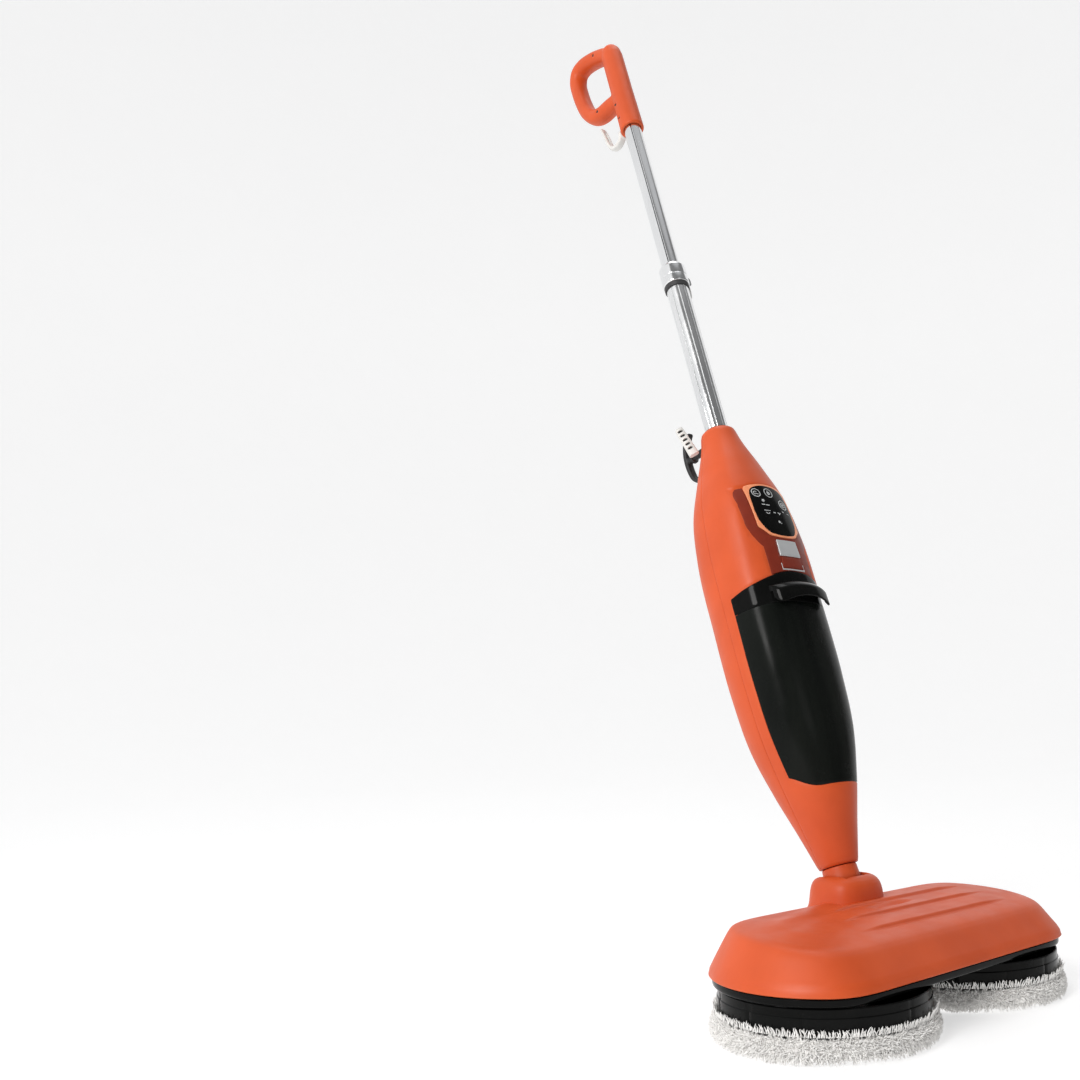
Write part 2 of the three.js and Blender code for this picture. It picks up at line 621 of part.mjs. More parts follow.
function steamBoiler() {
  const can = bar(boiler.radius, boiler.bottom, boiler.top, 0, boiler.y, 20);
  const domes = bar(boiler.dome, boiler.bottom - boiler.rise, boiler.top + boiler.rise, 0, boiler.y, 16);
  const ports = bar(boilerPorts.radius, boilerPorts.inlet, boilerPorts.outlet, 0, boiler.y, 10);
  return part('steam_boiler', can.add(domes).add(ports), aluminium);
}

function waterPump() {
  const coil = block(-pump.halfWidth, pump.halfWidth, pump.front, pump.back, pump.bottom, pump.top);
  const barrel = bar(pumpBarrel.radius, pumpBarrel.inlet, pumpBarrel.outlet, 0, pumpBarrel.y, 20);
  return part('water_pump', coil.add(barrel), darkPlastic);
}

function innerHose(name, route) {
  return part(name, swept(route, 3, 3, 12, 8), rubber);
}

function tubeSocket() {
  const sleeve = bar(17.3, 460, body.top - 2, 0, 0, 20).add(bar(24, 478, 486, 0, 0, 20));
  const bore = bar(lowerTube.radius + gap, lowerTube.bottom - 0.5, 560, 0, 0, 24);
  return part('tube_socket', sleeve.subtract(bore).subtract(bar(8, 450, 500, 0, 0, 16)), darkPlastic);
}

// ---------------------------------------------------------------- tubes and clamp
function flutedCircle(radius, depth, flutes) {
  const points = [];
  const sides = flutes * 4;
  for (let side = 0; side < sides; side += 1) {
    const angle = (side / sides) * 2 * Math.PI;
    const reach = side % 4 === 0 ? radius - depth : radius;
    points.push([reach * Math.cos(angle), reach * Math.sin(angle)]);
  }
  return shapeOf(points);
}

function tubeOuter() {
  const section = flutedCircle(lowerTube.radius, lowerTube.flute, lowerTube.flutes);
  const outside = upright(section, lowerTube.bottom, lowerTube.top);
  const bore = bar(lowerTube.radius - lowerTube.wall, lowerTube.bottom - 1, lowerTube.top + 1, 0, 0, 40);
  return part('lower_tube', outside.subtract(bore), chrome);
}

function tubeInner() {
  let outside = bar(upperTube.radius, upperTube.bottom, upperTube.top, 0, 0, 36);
  const angle = THREE.MathUtils.degToRad(upperTube.grooveAngle);
  const reach = upperTube.radius + 0.2;
  const groove = bar(upperTube.groove, upperTube.bottom - 1, upperTube.top + 1,
    reach * Math.cos(angle), reach * Math.sin(angle), 8);
  outside = outside.subtract(groove);
  const bore = bar(upperTube.radius - upperTube.wall, upperTube.bottom - 1, upperTube.top + 1, 0, 0, 28);
  return part('upper_tube', outside.subtract(bore), chrome);
}

function slideBush() {
  const radius = lowerTube.radius - lowerTube.wall - gap / 2;
  const ring = bar(radius, bush.bottom, upperTube.bottom - gap, 0, 0, 32);
  const bore = bar(bush.bore, bush.bottom - 1, upperTube.bottom + 1, 0, 0, 20);
  return part('slide_bush', ring.subtract(bore), nylon);
}

function clampCollar() {
  const profile = [
    [lowerTube.radius + gap, clamp.bottom], [clamp.radius - 0.8, clamp.bottom],
    [clamp.radius, clamp.bottom + 1.5], [clamp.radius, clamp.top - 4],
    [clamp.radius - 2.6, clamp.top], [upperTube.radius + 0.35, clamp.top],
    [upperTube.radius + 0.35, lowerTube.top + gap], [lowerTube.radius + gap, lowerTube.top + gap],
    [lowerTube.radius + gap, clamp.bottom],
  ];
  const lugs = block(12, 22.5, -lever.lugHalf, lever.lugHalf, lever.height - 7, lever.height + 7)
    .subtract(block(16.2, 30, -lever.slotHalf, lever.slotHalf, 700, 900))
    .subtract(bar(clamp.radius - 1, 700, 900, 0, 0, 36));
  const bore = depthBar(lever.pin + gap, -10, 10, lever.x, lever.height, 12);
  return part('clamp_collar', turned(profile, 28).add(lugs).subtract(bore), silver);
}

function clampPin() {
  return part('clamp_pin', depthBar(lever.pin, -6.8, 6.8, lever.x, lever.height, 12), steel);
}

// the lever hangs down beside the tube in the locked position
function clampLever() {
  const outline = new THREE.Shape();
  outline.moveTo(17.8, clamp.bottom + 8);
  outline.lineTo(17.2, clamp.bottom - 8);
  outline.quadraticCurveTo(19, clamp.bottom - 13, 21.5, clamp.bottom - 9);
  outline.lineTo(22.2, clamp.bottom + 8);
  outline.absarc(lever.x, lever.height, lever.pin + 0.35, -0.4, Math.PI * 0.8, false);
  outline.closePath();
  const tab = prism(outline, -lever.thickness / 2, lever.thickness / 2, 6);
  const bore = depthBar(lever.pin + gap, -10, 10, lever.x, lever.height, 12);
  return part('clamp_lever', tab.subtract(bore), whitePlastic);
}

// ---------------------------------------------------------------- handle
function gripForm() {
  const barrel = turned([
    [0, grip.bottom], [grip.radius + 0.6, grip.bottom], [grip.radius, grip.bottom + 24],
    [grip.radius - 0.6, grip.waist], [grip.radius - 0.8, grip.top - 22],
    [grip.radius - 4, grip.top - 8], [0, grip.top],
  ], 24);
  const loop = swept([
    [0, 0, 1168], [0, 22, 1184], [0, 52, 1202], [0, 70, 1204], [0, 78, 1190], [0, 77, 1160],
    [0, 71, 1128], [0, 62, 1110], [0, 44, 1100], [0, 22, 1096], [0, 0, 1088],
  ], 13, 10.5, 26, 12);
  return barrel.add(loop);
}

const gripSolid = gripForm();
const gripBore = bar(upperTube.radius + gap, grip.bottom - 1, upperTube.top + gap, 0, 0, 36);
const gripScrews = [[24, 1186], [42, 1100], [6, 1078], [6, 1050]];
const screwRadius = 2;

function gripHalf(side) {
  let shape = gripSolid.subtract(gripBore).subtract(bar(9, 1080, 1176, 0, 0, 20));
  for (const [y, z] of gripScrews) {
    shape = shape.subtract(crossBar(screwRadius + gap, -40, side < 0 ? 40 : -6, y, z, 10));
  }
  const half = side < 0 ? block(-40, -gap / 2, -40, 140, 900, 1300) : block(gap / 2, 40, -40, 140, 900, 1300);
  return part(side < 0 ? 'handle_left' : 'handle_right', shape.intersect(half), orange);
}

// ---------------------------------------------------------------- cord hooks and cord entry
function upperHook() {
  const arm = swept([
    [0, 20.4, 1040], [0, 30, 1034], [0, 41, 1035], [0, 47, 1046], [0, 50, 1062], [0, 53, 1080],
  ], 5, 2.6, 12, 8);
  return part('upper_cord_hook', arm.add(depthBar(6, 17.2, 21, 0, hook.upperZ, 14)), whitePlastic);
}

function lowerHook() {
  const stem = depthBar(hook.stem, 23.5, 57, 0, hook.z, 14);
  const cleat = swept([
    [0, 43, 571], [0, 51, 566], [0, 57, 554], [0, 59, 538], [0, 57, 521], [0, 52, 511], [0, 45, 508],
  ], 5, 2.8, 12, 8);
  return part('lower_cord_hook', cleat.add(stem), darkPlastic);
}

// slotted bend relief where the supply cord leaves the left rear of the neck
function cordBoot() {
  let strap = bar(boot.base, 0, boot.length, 0, 0, 16, boot.tip);
  strap = strap.intersect(block(-20, 20, -boot.half, boot.half, -1, boot.length + 1));
  strap = strap.subtract(bar(boot.bore, 6, boot.length + 1, 0, 0, 10));
  for (let index = 0; index < bootSlots.count; index += 1) {
    const low = bootSlots.first + index * bootSlots.pitch;
    const high = low + bootSlots.width;
    strap = strap.subtract(block(-bootSlots.half, bootSlots.half, -20, -bootSlots.inner, low, high));
    strap = strap.subtract(block(-bootSlots.half, bootSlots.half, bootSlots.inner, 20, low, high));
  }
  const group = new THREE.Group();
  group.position.set(...bootPlace.foot);
  const heading = new THREE.Vector3(...bootPlace.heading).normalize();
  group.quaternion.setFromUnitVectors(new THREE.Vector3(0, 0, 1), heading);
  group.rotateZ(THREE.MathUtils.degToRad(bootPlace.turn));
  group.add(part('cord_boot', strap, whitePlastic));
  return group;
}

// ---------------------------------------------------------------- assembly
function floorHead() {
  const head = new THREE.Group();
  head.add(headCover(), chassisTray(), gearPlate(), steamNozzle(), headHose(), pivotBracket(), pivotPin());
  for (const side of [-1, 1]) {
    head.add(driveMotor(side), pinion(side), driveGear(side), spindleBush(side));
    head.add(padSpindle(side), padDisc(side), mopPad(side));
  }
  return head;
}

function wandBody() {
  const group = new THREE.Group();
  group.add(swivelBush(), rearShell(), frontShell(), tankCradle(), tankShell(), tankLid(), tankValve());
  group.add(panelTrim(), panelFrame(), panelLens(), circuitBoard(), steamBoiler(), waterPump(), tubeSocket());
  group.add(pressButton('silver_button', button.silver, silver, 0.8));
  group.add(pressButton('red_button', button.red, maroon, 0.5));
  group.add(innerHose('pump_hose', [[0, 19, 153], [0, 20, 158], [0, 26, 165], [0, 27, 171]]));
  group.add(innerHose('steam_hose', [
    [0, 27, 304.4], [0, 27, 309], [10, 26, 316], [24, 22, 308], [31, 16, 290], [34, 12, 230], [30, 10, 150],
    [20, 8, 100], [4, 2, 66], [0, 0, 54],
  ]));
  return group;
}

const mop = new THREE.Group();
const wand = new THREE.Group();
wand.position.set(0, pivot.y, pivot.z);
wand.rotation.x = -lean;
wand.add(neckLink(-1), neckLink(1), swivelSpigot(), wandBody());
wand.add(tubeOuter(), tubeInner(), slideBush(), clampCollar(), clampPin(), clampLever());
wand.add(gripHalf(-1), gripHalf(1), upperHook(), lowerHook(), cordBoot());
mop.add(floorHead(), wand);

// the origin is on the floor, under the middle of the whole object
const extent = new THREE.Box3().setFromObject(mop, true);
mop.position.y = -(extent.min.y + extent.max.y) / 2;

export default mop;
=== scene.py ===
import json
import math
import random

import bpy
import numpy as np
from mathutils import Matrix, Vector
from mathutils.geometry import delaunay_2d_cdt


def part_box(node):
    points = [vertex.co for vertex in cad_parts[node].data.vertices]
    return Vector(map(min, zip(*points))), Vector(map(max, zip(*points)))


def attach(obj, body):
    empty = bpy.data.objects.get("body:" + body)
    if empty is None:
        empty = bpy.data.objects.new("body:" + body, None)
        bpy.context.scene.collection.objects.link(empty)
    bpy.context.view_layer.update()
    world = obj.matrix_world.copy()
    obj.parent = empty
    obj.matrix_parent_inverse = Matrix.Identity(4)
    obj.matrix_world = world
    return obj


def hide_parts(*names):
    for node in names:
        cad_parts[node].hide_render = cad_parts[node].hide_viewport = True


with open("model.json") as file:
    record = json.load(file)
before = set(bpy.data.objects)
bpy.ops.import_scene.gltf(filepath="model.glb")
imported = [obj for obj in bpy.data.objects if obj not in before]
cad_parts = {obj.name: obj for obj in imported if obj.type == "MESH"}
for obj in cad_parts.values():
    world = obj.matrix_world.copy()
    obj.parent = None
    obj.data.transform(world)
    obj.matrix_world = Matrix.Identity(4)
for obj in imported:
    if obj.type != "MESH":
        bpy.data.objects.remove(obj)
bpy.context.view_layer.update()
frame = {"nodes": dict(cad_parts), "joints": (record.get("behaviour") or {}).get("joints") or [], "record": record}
nodes = frame["nodes"]
joints = {joint["name"]: joint for joint in frame["joints"]}
scene = bpy.context.scene
rng = random.Random(11)
mm = 0.001

# where the parts stand: the floor head about the middle of its two pads, the wand about the neck hinge
padLow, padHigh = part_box("left_mop_pad")
otherLow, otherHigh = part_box("right_mop_pad")
headMiddle = Vector(((padLow.x + otherHigh.x) / 2, (padLow.y + padHigh.y) / 2, padLow.z))
padSpacing = (otherLow.x + otherHigh.x) / 2 / mm
hinge = Vector(joints["neck_pitch"]["pos_m"])
alongWand = Vector(joints["neck_steer"]["axis"]).normalized()
behindWand = alongWand.cross(Vector((1, 0, 0)))
print("frame loaded:", len(nodes), "nodes, pads", round(padSpacing * 2), "mm apart")


# the camera and the light
cameraSpec = {
    "place": (-0.87705, -0.67266, 0.27483),  # from the middle of the head, on the floor
    "yaw": 43.9415,
    "pitch": 7.3287,
    "roll": -1.4308,
    "lens": 35.757,
    "shift": (-0.16677, 0.04787),
}


def addCamera(spec):
    yaw, pitch, roll = (math.radians(spec[key]) for key in ("yaw", "pitch", "roll"))
    ahead = Vector((math.sin(yaw) * math.cos(pitch), math.cos(yaw) * math.cos(pitch), math.sin(pitch)))
    level = Vector((math.cos(yaw), -math.sin(yaw), 0))
    above = level.cross(ahead)
    right = level * math.cos(roll) + above * math.sin(roll)
    up = above * math.cos(roll) - level * math.sin(roll)
    data = bpy.data.cameras.new("camera")
    data.lens = spec["lens"]
    data.sensor_width = 36
    data.shift_x, data.shift_y = spec["shift"]
    data.clip_end = 60
    camera = bpy.data.objects.new("camera", data)
    scene.collection.objects.link(camera)
    turn = Matrix((right, up, -ahead)).transposed().to_4x4()
    camera.matrix_world = Matrix.Translation(headMiddle + Vector(spec["place"])) @ turn
    scene.camera = camera
    return camera


addCamera(cameraSpec)

studio = {
    "lamps": [  # name, place, aim height, size, watts, tint
        ("keyPanel", (-2.4, -0.75, 1.75), 0.35, 1.1, 44, (1.0, 0.985, 0.97)),
        ("frontPanel", (-0.4, -2.6, 1.2), 0.5, 1.0, 2, (1.0, 0.99, 0.98)),
        ("topPanel", (0.2, 0.2, 3.0), 0.0, 1.4, 13, (1.0, 1.0, 1.0)),
    ],
    "world": 0.56,
    "floorRadius": 3.6,
    "wallRadius": 7.0,
    "wallHeight": 11.0,
    "dimSide": -1.9,
}


def addStudio(spec):
    for name, place, aim, size, watts, tint in spec["lamps"]:
        data = bpy.data.lights.new(name, "AREA")
        data.shape = "DISK"
        data.size = size
        data.energy = watts
        data.color = tint
        lamp = bpy.data.objects.new(name, data)
        scene.collection.objects.link(lamp)
        lamp.location = place
        lamp.rotation_euler = (Vector((0, 0, aim)) - Vector(place)).to_track_quat("-Z", "Y").to_euler()
    world = bpy.data.worlds.new("studioAir")
    world.use_nodes = True
    sky = world.node_tree.nodes["Background"]
    sky.inputs["Color"].default_value = (0.97, 0.98, 1.0, 1)
    sky.inputs["Strength"].default_value = spec["world"]
    scene.world = world
    scene.view_settings.view_transform = "Standard"


addStudio(studio)


# finishes: each one is grain, mottling, edges lightened partly as wear and partly as a painted edge highlight, and
# a rough spread over a plain base
finishes = {
    "orange_shell": dict(color=(0.66, 0.092, 0.019), deep=(0.60, 0.080, 0.016),
                         rough=(0.40, 0.50), grain=2600,
                         bump=0.035, patch=18, wearAndEdgeHighlight=0.12, wornAndHighlitColour=(0.86, 0.24, 0.09), coat=0.0, level=0.35),
    "gloss_black": dict(color=(0.0050, 0.0052, 0.0050), deep=(0.0030, 0.0032, 0.0030), rough=(0.10, 0.16),
                        grain=700, bump=0.004, patch=26, wearAndEdgeHighlight=0.2, wornAndHighlitColour=(0.02, 0.02, 0.02), level=0.08),
    # the smoke tank's colour mottling runs in vertical streaks: painted highlight streaks
    "smoke_tank": dict(color=(0.0085, 0.0100, 0.0085), deep=(0.0035, 0.0045, 0.0038), rough=(0.20, 0.28),
                       grain=500, bump=0.004, patch=22, wearAndEdgeHighlight=0.3, wornAndHighlitColour=(0.02, 0.022, 0.02), level=0.08,
                       highlightStreaks=True),
    "dark_plastic": dict(color=(0.018, 0.018, 0.020), deep=(0.010, 0.010, 0.011),
                         rough=(0.45, 0.65), grain=2200,
                         bump=0.05, patch=40, wearAndEdgeHighlight=0.3, wornAndHighlitColour=(0.08, 0.08, 0.08)),
    "maroon_trim": dict(color=(0.225, 0.027, 0.011), deep=(0.20, 0.023, 0.010),
                        rough=(0.34, 0.44), grain=2400,
                        bump=0.02, patch=60, wearAndEdgeHighlight=0.25, wornAndHighlitColour=(0.42, 0.10, 0.05), level=0.25),
    "peach_trim": dict(color=(0.95, 0.33, 0.15), deep=(0.92, 0.31, 0.14), rough=(0.25, 0.35), grain=2000,
                       bump=0.01, patch=70, wearAndEdgeHighlight=0.2, wornAndHighlitColour=(1.0, 0.62, 0.36)),
    "silver_plastic": dict(color=(0.60, 0.61, 0.62), deep=(0.57, 0.58, 0.59), rough=(0.30, 0.36), grain=3000,
                           bump=0.005, patch=60, wearAndEdgeHighlight=0.3, wornAndHighlitColour=(0.9, 0.9, 0.9), metal=0.35),
    "chrome_tube": dict(color=(0.86, 0.865, 0.87), deep=(0.76, 0.77, 0.78), rough=(0.10, 0.20), grain=900,
                        bump=0.006, patch=12, wearAndEdgeHighlight=0.1, wornAndHighlitColour=(0.95, 0.95, 0.95), metal=1.0, brushed=True),
    "steel": dict(color=(0.52, 0.53, 0.55), deep=(0.38, 0.39, 0.41), rough=(0.25, 0.45), grain=1500,
                  bump=0.03, patch=50, wearAndEdgeHighlight=0.2, wornAndHighlitColour=(0.8, 0.8, 0.8), metal=1.0, brushed=True),
    "white_plastic": dict(color=(0.74, 0.73, 0.70), deep=(0.68, 0.67, 0.64), rough=(0.36, 0.5), grain=2300,
                          bump=0.02, patch=90, wearAndEdgeHighlight=0.3, wornAndHighlitColour=(0.9, 0.89, 0.86)),
    "nylon": dict(color=(0.74, 0.71, 0.62), deep=(0.66, 0.62, 0.52), rough=(0.4, 0.55), grain=1800,
                  bump=0.03, patch=50, wearAndEdgeHighlight=0.2, wornAndHighlitColour=(0.9, 0.88, 0.8)),
    "microfibre": dict(color=(0.93, 0.92, 0.90), deep=(0.80, 0.785, 0.77), rough=(0.85, 0.98), grain=1100,
                       bump=0.5, patch=160, wearAndEdgeHighlight=0.5, wornAndHighlitColour=(0.96, 0.95, 0.93), sheen=0.35),
    "rubber": dict(color=(0.020, 0.020, 0.021), deep=(0.012, 0.012, 0.012), rough=(0.6, 0.8), grain=1600,
                   bump=0.06, patch=60, wearAndEdgeHighlight=0.2, wornAndHighlitColour=(0.06, 0.06, 0.06)),
    "circuit": dict(color=(0.018, 0.15, 0.045), deep=(0.010, 0.10, 0.03), rough=(0.3, 0.5), grain=900,
                    bump=0.05, patch=120, wearAndEdgeHighlight=0.2, wornAndHighlitColour=(0.5, 0.45, 0.2)),
    "aluminium": dict(color=(0.66, 0.67, 0.68), deep=(0.55, 0.56, 0.57), rough=(0.3, 0.45), grain=1400,
                      bump=0.05, patch=60, wearAndEdgeHighlight=0.2, wornAndHighlitColour=(0.85, 0.85, 0.85), metal=1.0, brushed=True),
    "print_grey": dict(color=(0.60, 0.62, 0.62), deep=(0.46, 0.48, 0.48), rough=(0.35, 0.5), grain=2500,
                       bump=0.01, patch=200, wearAndEdgeHighlight=0.1, wornAndHighlitColour=(0.8, 0.8, 0.8)),
    "seam_shadow": dict(color=(0.012, 0.010, 0.010), deep=(0.006, 0.005, 0.005), rough=(0.6, 0.8), grain=1500,
                        bump=0.03, patch=80, wearAndEdgeHighlight=0.1, wornAndHighlitColour=(0.03, 0.03, 0.03)),
}


for name, shade, glow in (("paper", 0.52, 0.57), ("paperDim", 0.22, 0.06)):
    finishes[name] = dict(color=(shade,) * 3, deep=(shade * 0.99,) * 3, rough=(0.75, 0.85),
                          grain=300, bump=0.002,
                          patch=3, wearAndEdgeHighlight=0.01, wornAndHighlitColour=(shade,) * 3, glow=glow, level=0.1)


def makeFinish(name, look):
    material = bpy.data.materials.new(name)
    material.use_nodes = True
    tree = material.node_tree
    shader = tree.nodes["Principled BSDF"]
    spot = tree.nodes.new("ShaderNodeTexCoord")
    stretch = tree.nodes.new("ShaderNodeMapping")
    tree.links.new(spot.outputs["Object"], stretch.inputs["Vector"])
    if look.get("brushed"):
        stretch.inputs["Scale"].default_value = (1, 1, 0.04)
    # the mottling is stretched into faint vertical streaks: painted highlights in the smoked plastic
    if look.get("highlightStreaks"):
        stretch.inputs["Scale"].default_value = (1.6, 0.4, 0.12)

    def addNoise(scale, detail, source):
        texture = tree.nodes.new("ShaderNodeTexNoise")
        texture.inputs["Scale"].default_value = scale
        texture.inputs["Detail"].default_value = detail
        tree.links.new(source, texture.inputs["Vector"])
        return texture.outputs["Fac"]

    def mapRange(source, low, high, first=0.35, last=0.65):
        spread = tree.nodes.new("ShaderNodeMapRange")
        spread.inputs["From Min"].default_value = first
        spread.inputs["From Max"].default_value = last
        spread.inputs["To Min"].default_value = low
        spread.inputs["To Max"].default_value = high
        tree.links.new(source, spread.inputs["Value"])
        return spread.outputs["Result"]

    def mixColour(factor, first, second):
        mix = tree.nodes.new("ShaderNodeMix")
        mix.data_type = "RGBA"
        tree.links.new(factor, mix.inputs["Factor"])
        for side, value in (("A", first), ("B", second)):
            socket = [s for s in mix.inputs if s.name == side and s.type == "RGBA"][0]
            if isinstance(value, tuple):
                socket.default_value = (*value, 1)
            else:
                tree.links.new(value, socket)
        return [s for s in mix.outputs if s.type == "RGBA"][0]

    patches = addNoise(look["patch"], 4, stretch.outputs["Vector"])
    along = stretch if look.get("brushed") else None
    grain = addNoise(look["grain"], 2, along.outputs["Vector"] if along else spot.outputs["Object"])
    base = mixColour(mapRange(patches, 0, 1), look["deep"], look["color"])
    form = tree.nodes.new("ShaderNodeNewGeometry")
    # convex edges (pointiness) are mixed towards a paler colour: partly wear, partly a painted edge highlight
    edges = mapRange(form.outputs["Pointiness"], 0, look["wearAndEdgeHighlight"], 0.515, 0.60)
    tree.links.new(mixColour(edges, base, look["wornAndHighlitColour"]), shader.inputs["Base Color"])
    smudge = addNoise(look["patch"] * 2.3, 6, spot.outputs["Object"])
    tree.links.new(mapRange(smudge, look["rough"][0], look["rough"][1]), shader.inputs["Roughness"])
    relief = tree.nodes.new("ShaderNodeBump")
    relief.inputs["Strength"].default_value = look["bump"]
    relief.inputs["Distance"].default_value = 0.4 * mm
    tree.links.new(grain, relief.inputs["Height"])
    tree.links.new(relief.outputs["Normal"], shader.inputs["Normal"])
    shader.inputs["Metallic"].default_value = look.get("metal", 0)
    shader.inputs["Coat Weight"].default_value = look.get("coat", 0)
    shader.inputs["Coat Roughness"].default_value = 0.08
    if "level" in look:
        shader.inputs["Specular IOR Level"].default_value = look["level"]
    if "glow" in look:
        shader.inputs["Emission Color"].default_value = (1, 1, 1, 1)
        shader.inputs["Emission Strength"].default_value = look["glow"]
    if "sheen" in look:
        shader.inputs["Sheen Weight"].default_value = look["sheen"]
        shader.inputs["Sheen Roughness"].default_value = 0.5
    return material


paint = {name: makeFinish(name, look) for name, look in finishes.items()}
for part in frame["record"]["subparts"]:
    cadNode = nodes[part["node"]]
    cadNode.data.materials.clear()
    cadNode.data.materials.append(paint[part["material_slot"]])
print("finishes made:", len(paint))


# making meshes: all outlines are in millimetres, in the head's frame or the wand's
def inHead(points):
    return np.asarray(points, float) * mm + np.array(headMiddle)


def inWand(points):
    turn = np.array([(1, 0, 0), tuple(behindWand), tuple(alongWand)])
    return np.asarray(points, float) @ turn * mm + np.array(hinge)


def addPiece(name, points, faces, look, sharp=38):
    mesh = bpy.data.meshes.new(name)
    mesh.from_pydata(np.asarray(points).tolist(), [], [tuple(int(i) for i in face) for face in faces])
    mesh.validate()
    mesh.shade_smooth()
    mesh.set_sharp_from_angle(angle=math.radians(sharp))
    piece = bpy.data.objects.new(name, mesh)
    scene.collection.objects.link(piece)
    mesh.materials.append(paint[look])
    return piece


def fit(piece, body, slot, *standsFor):
    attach(piece, body)
    if standsFor:
        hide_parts(*standsFor)
    return piece


def addFitted(name, form, where, look, body, slot, node, sharp=38):
    points, faces = form
    return fit(addPiece(name, where(points), faces, look, sharp), body, slot, node)


# faces over a stack of equal rings
def stackRings(rings, capped=(True, True), closed=False):
    count = len(rings[0])
    points = np.concatenate([np.asarray(ring, float) for ring in rings])
    faces = []
    last = len(rings) if closed else len(rings) - 1
    for level in range(last):
        low = level * count
        high = (level + 1) % len(rings) * count
        for step in range(count):
            after = (step + 1) % count
            faces.append((low + step, low + after, high + after, high + step))
    for flag, level, flip in ((capped[0], 0, True), (capped[1], len(rings) - 1, False)):
        if flag and not closed:
            ring = list(range(level * count, (level + 1) * count))
            faces.append(tuple(reversed(ring)) if flip else tuple(ring))
    return points, faces


def joined(*shapes):
    points = []
    faces = []
    for shapePoints, shapeFaces in shapes:
        shift = sum(len(part) for part in points)
        points.append(np.asarray(shapePoints, float))
        faces.extend([tuple(i + shift for i in face) for face in shapeFaces])
    return np.concatenate(points), faces


# a body of revolution from (radius, height) pairs, bottom to top outside
def turnedForm(profile, sides=72, middle=(0, 0)):
    angles = np.arange(sides) * 2 * math.pi / sides
    rings = []
    for radius, height in profile:
        rings.append(np.stack([middle[0] + radius * np.cos(angles), middle[1] + radius * np.sin(angles),
                               np.full(sides, float(height))], 1))
    return rings


# the corners of a profile with each inner one rounded
def easedProfile(corners, radius, steps=5):
    points = [np.array(corners[0], float)]
    for before, here, after in zip(corners, corners[1:], corners[2:]):
        before, here, after = (np.array(p, float) for p in (before, here, after))
        back = before - here
        ahead = after - here
        reach = min(radius, np.linalg.norm(back) * 0.45, np.linalg.norm(ahead) * 0.45)
        start = here + back / np.linalg.norm(back) * reach
        end = here + ahead / np.linalg.norm(ahead) * reach
        for step in range(steps + 1):
            t = step / steps
            points.append((1 - t) ** 2 * start + 2 * t * (1 - t) * here + t ** 2 * end)
    points.append(np.array(corners[-1], float))
    return [tuple(p) for p in points]


# a smooth line through points, as a centripetal spline would run
def splinePath(corners, steps):
    corners = np.asarray(corners, float)
    lengths = np.concatenate([[0], np.cumsum(np.linalg.norm(np.diff(corners, axis=0), axis=1) ** 0.5)])
    places = np.linspace(0, lengths[-1], steps)
    return np.stack([smoothThrough(lengths, corners[:, axis], places) for axis in range(corners.shape[1])], 1)


def smoothThrough(stations, values, where):
    stations = np.asarray(stations, float)
    values = np.asarray(values, float)
    slopes = np.gradient(values, stations)
    where = np.asarray(where, float)
    index = np.clip(np.searchsorted(stations, where) - 1, 0, len(stations) - 2)
    span = stations[index + 1] - stations[index]
    t = np.clip((where - stations[index]) / span, 0, 1)
    startValue = (2 * t ** 3 - 3 * t ** 2 + 1) * values[index] + (3 * t ** 2 - 2 * t ** 3) * values[index + 1]
    startSlope = (t ** 3 - 2 * t ** 2 + t) * slopes[index]
    return startValue + span * (startSlope + (t ** 3 - t ** 2) * slopes[index + 1])


# rings of an oval section along a path; the first half-size lies along side
def sweepRings(path, sizes, sides=36, squareness=2.0, side=(1, 0, 0)):
    path = np.asarray(path, float)
    side = np.asarray(side, float)
    headings = np.gradient(path, axis=0)
    rings = []
    angles = np.arange(sides) * 2 * math.pi / sides
    across = np.sign(np.cos(angles)) * np.abs(np.cos(angles)) ** (2 / squareness)
    inward = np.sign(np.sin(angles)) * np.abs(np.sin(angles)) ** (2 / squareness)
    for point, heading, (wide, deep) in zip(path, headings, sizes):
        heading = heading / np.linalg.norm(heading)
        normal = np.cross(heading, side)
        normal = normal / np.linalg.norm(normal)
        level = np.cross(normal, heading)
        rings.append(point + np.outer(across * wide, level) + np.outer(inward * deep, normal))
    return rings


def boxForm(low, high):
    (x0, y0, z0), (x1, y1, z1) = low, high
    rings = [[(x0, y0, z), (x1, y0, z), (x1, y1, z), (x0, y1, z)] for z in (z0, z1)]
    return stackRings(rings)


# a shape moved by a 4x4 matrix in millimetres
def turnForm(shape, turn):
    points, faces = shape
    matrix = np.array(turn)
    return np.asarray(points) @ matrix[:3, :3].T + matrix[:3, 3], faces


def rodForm(start, end, radius, sides=28):
    start, end = (np.array(p, float) for p in (start, end))
    heading = end - start
    side = (0, 0, 1) if abs(heading[2]) < 0.9 * np.linalg.norm(heading) else (1, 0, 0)
    return stackRings(sweepRings([start, end], [(radius, radius)] * 2, sides, 2.0, side))


def bakeModifiers(piece):
    graph = bpy.context.evaluated_depsgraph_get()
    mesh = bpy.data.meshes.new_from_object(piece.evaluated_get(graph))
    piece.modifiers.clear()
    piece.data = mesh
    return piece


def addRemesh(piece, voxel):
    fuse = piece.modifiers.new("fuse", "REMESH")
    fuse.mode = "VOXEL"
    fuse.voxel_size = voxel * mm


def addBoolean(piece, operation, tool):
    cut = piece.modifiers.new("cut", "BOOLEAN")
    cut.operation = operation
    cut.solver = "EXACT"
    cut.object = tool


def repaint(piece, look):
    piece.data.materials.clear()
    piece.data.materials.append(paint[look])
    piece.data.shade_smooth()


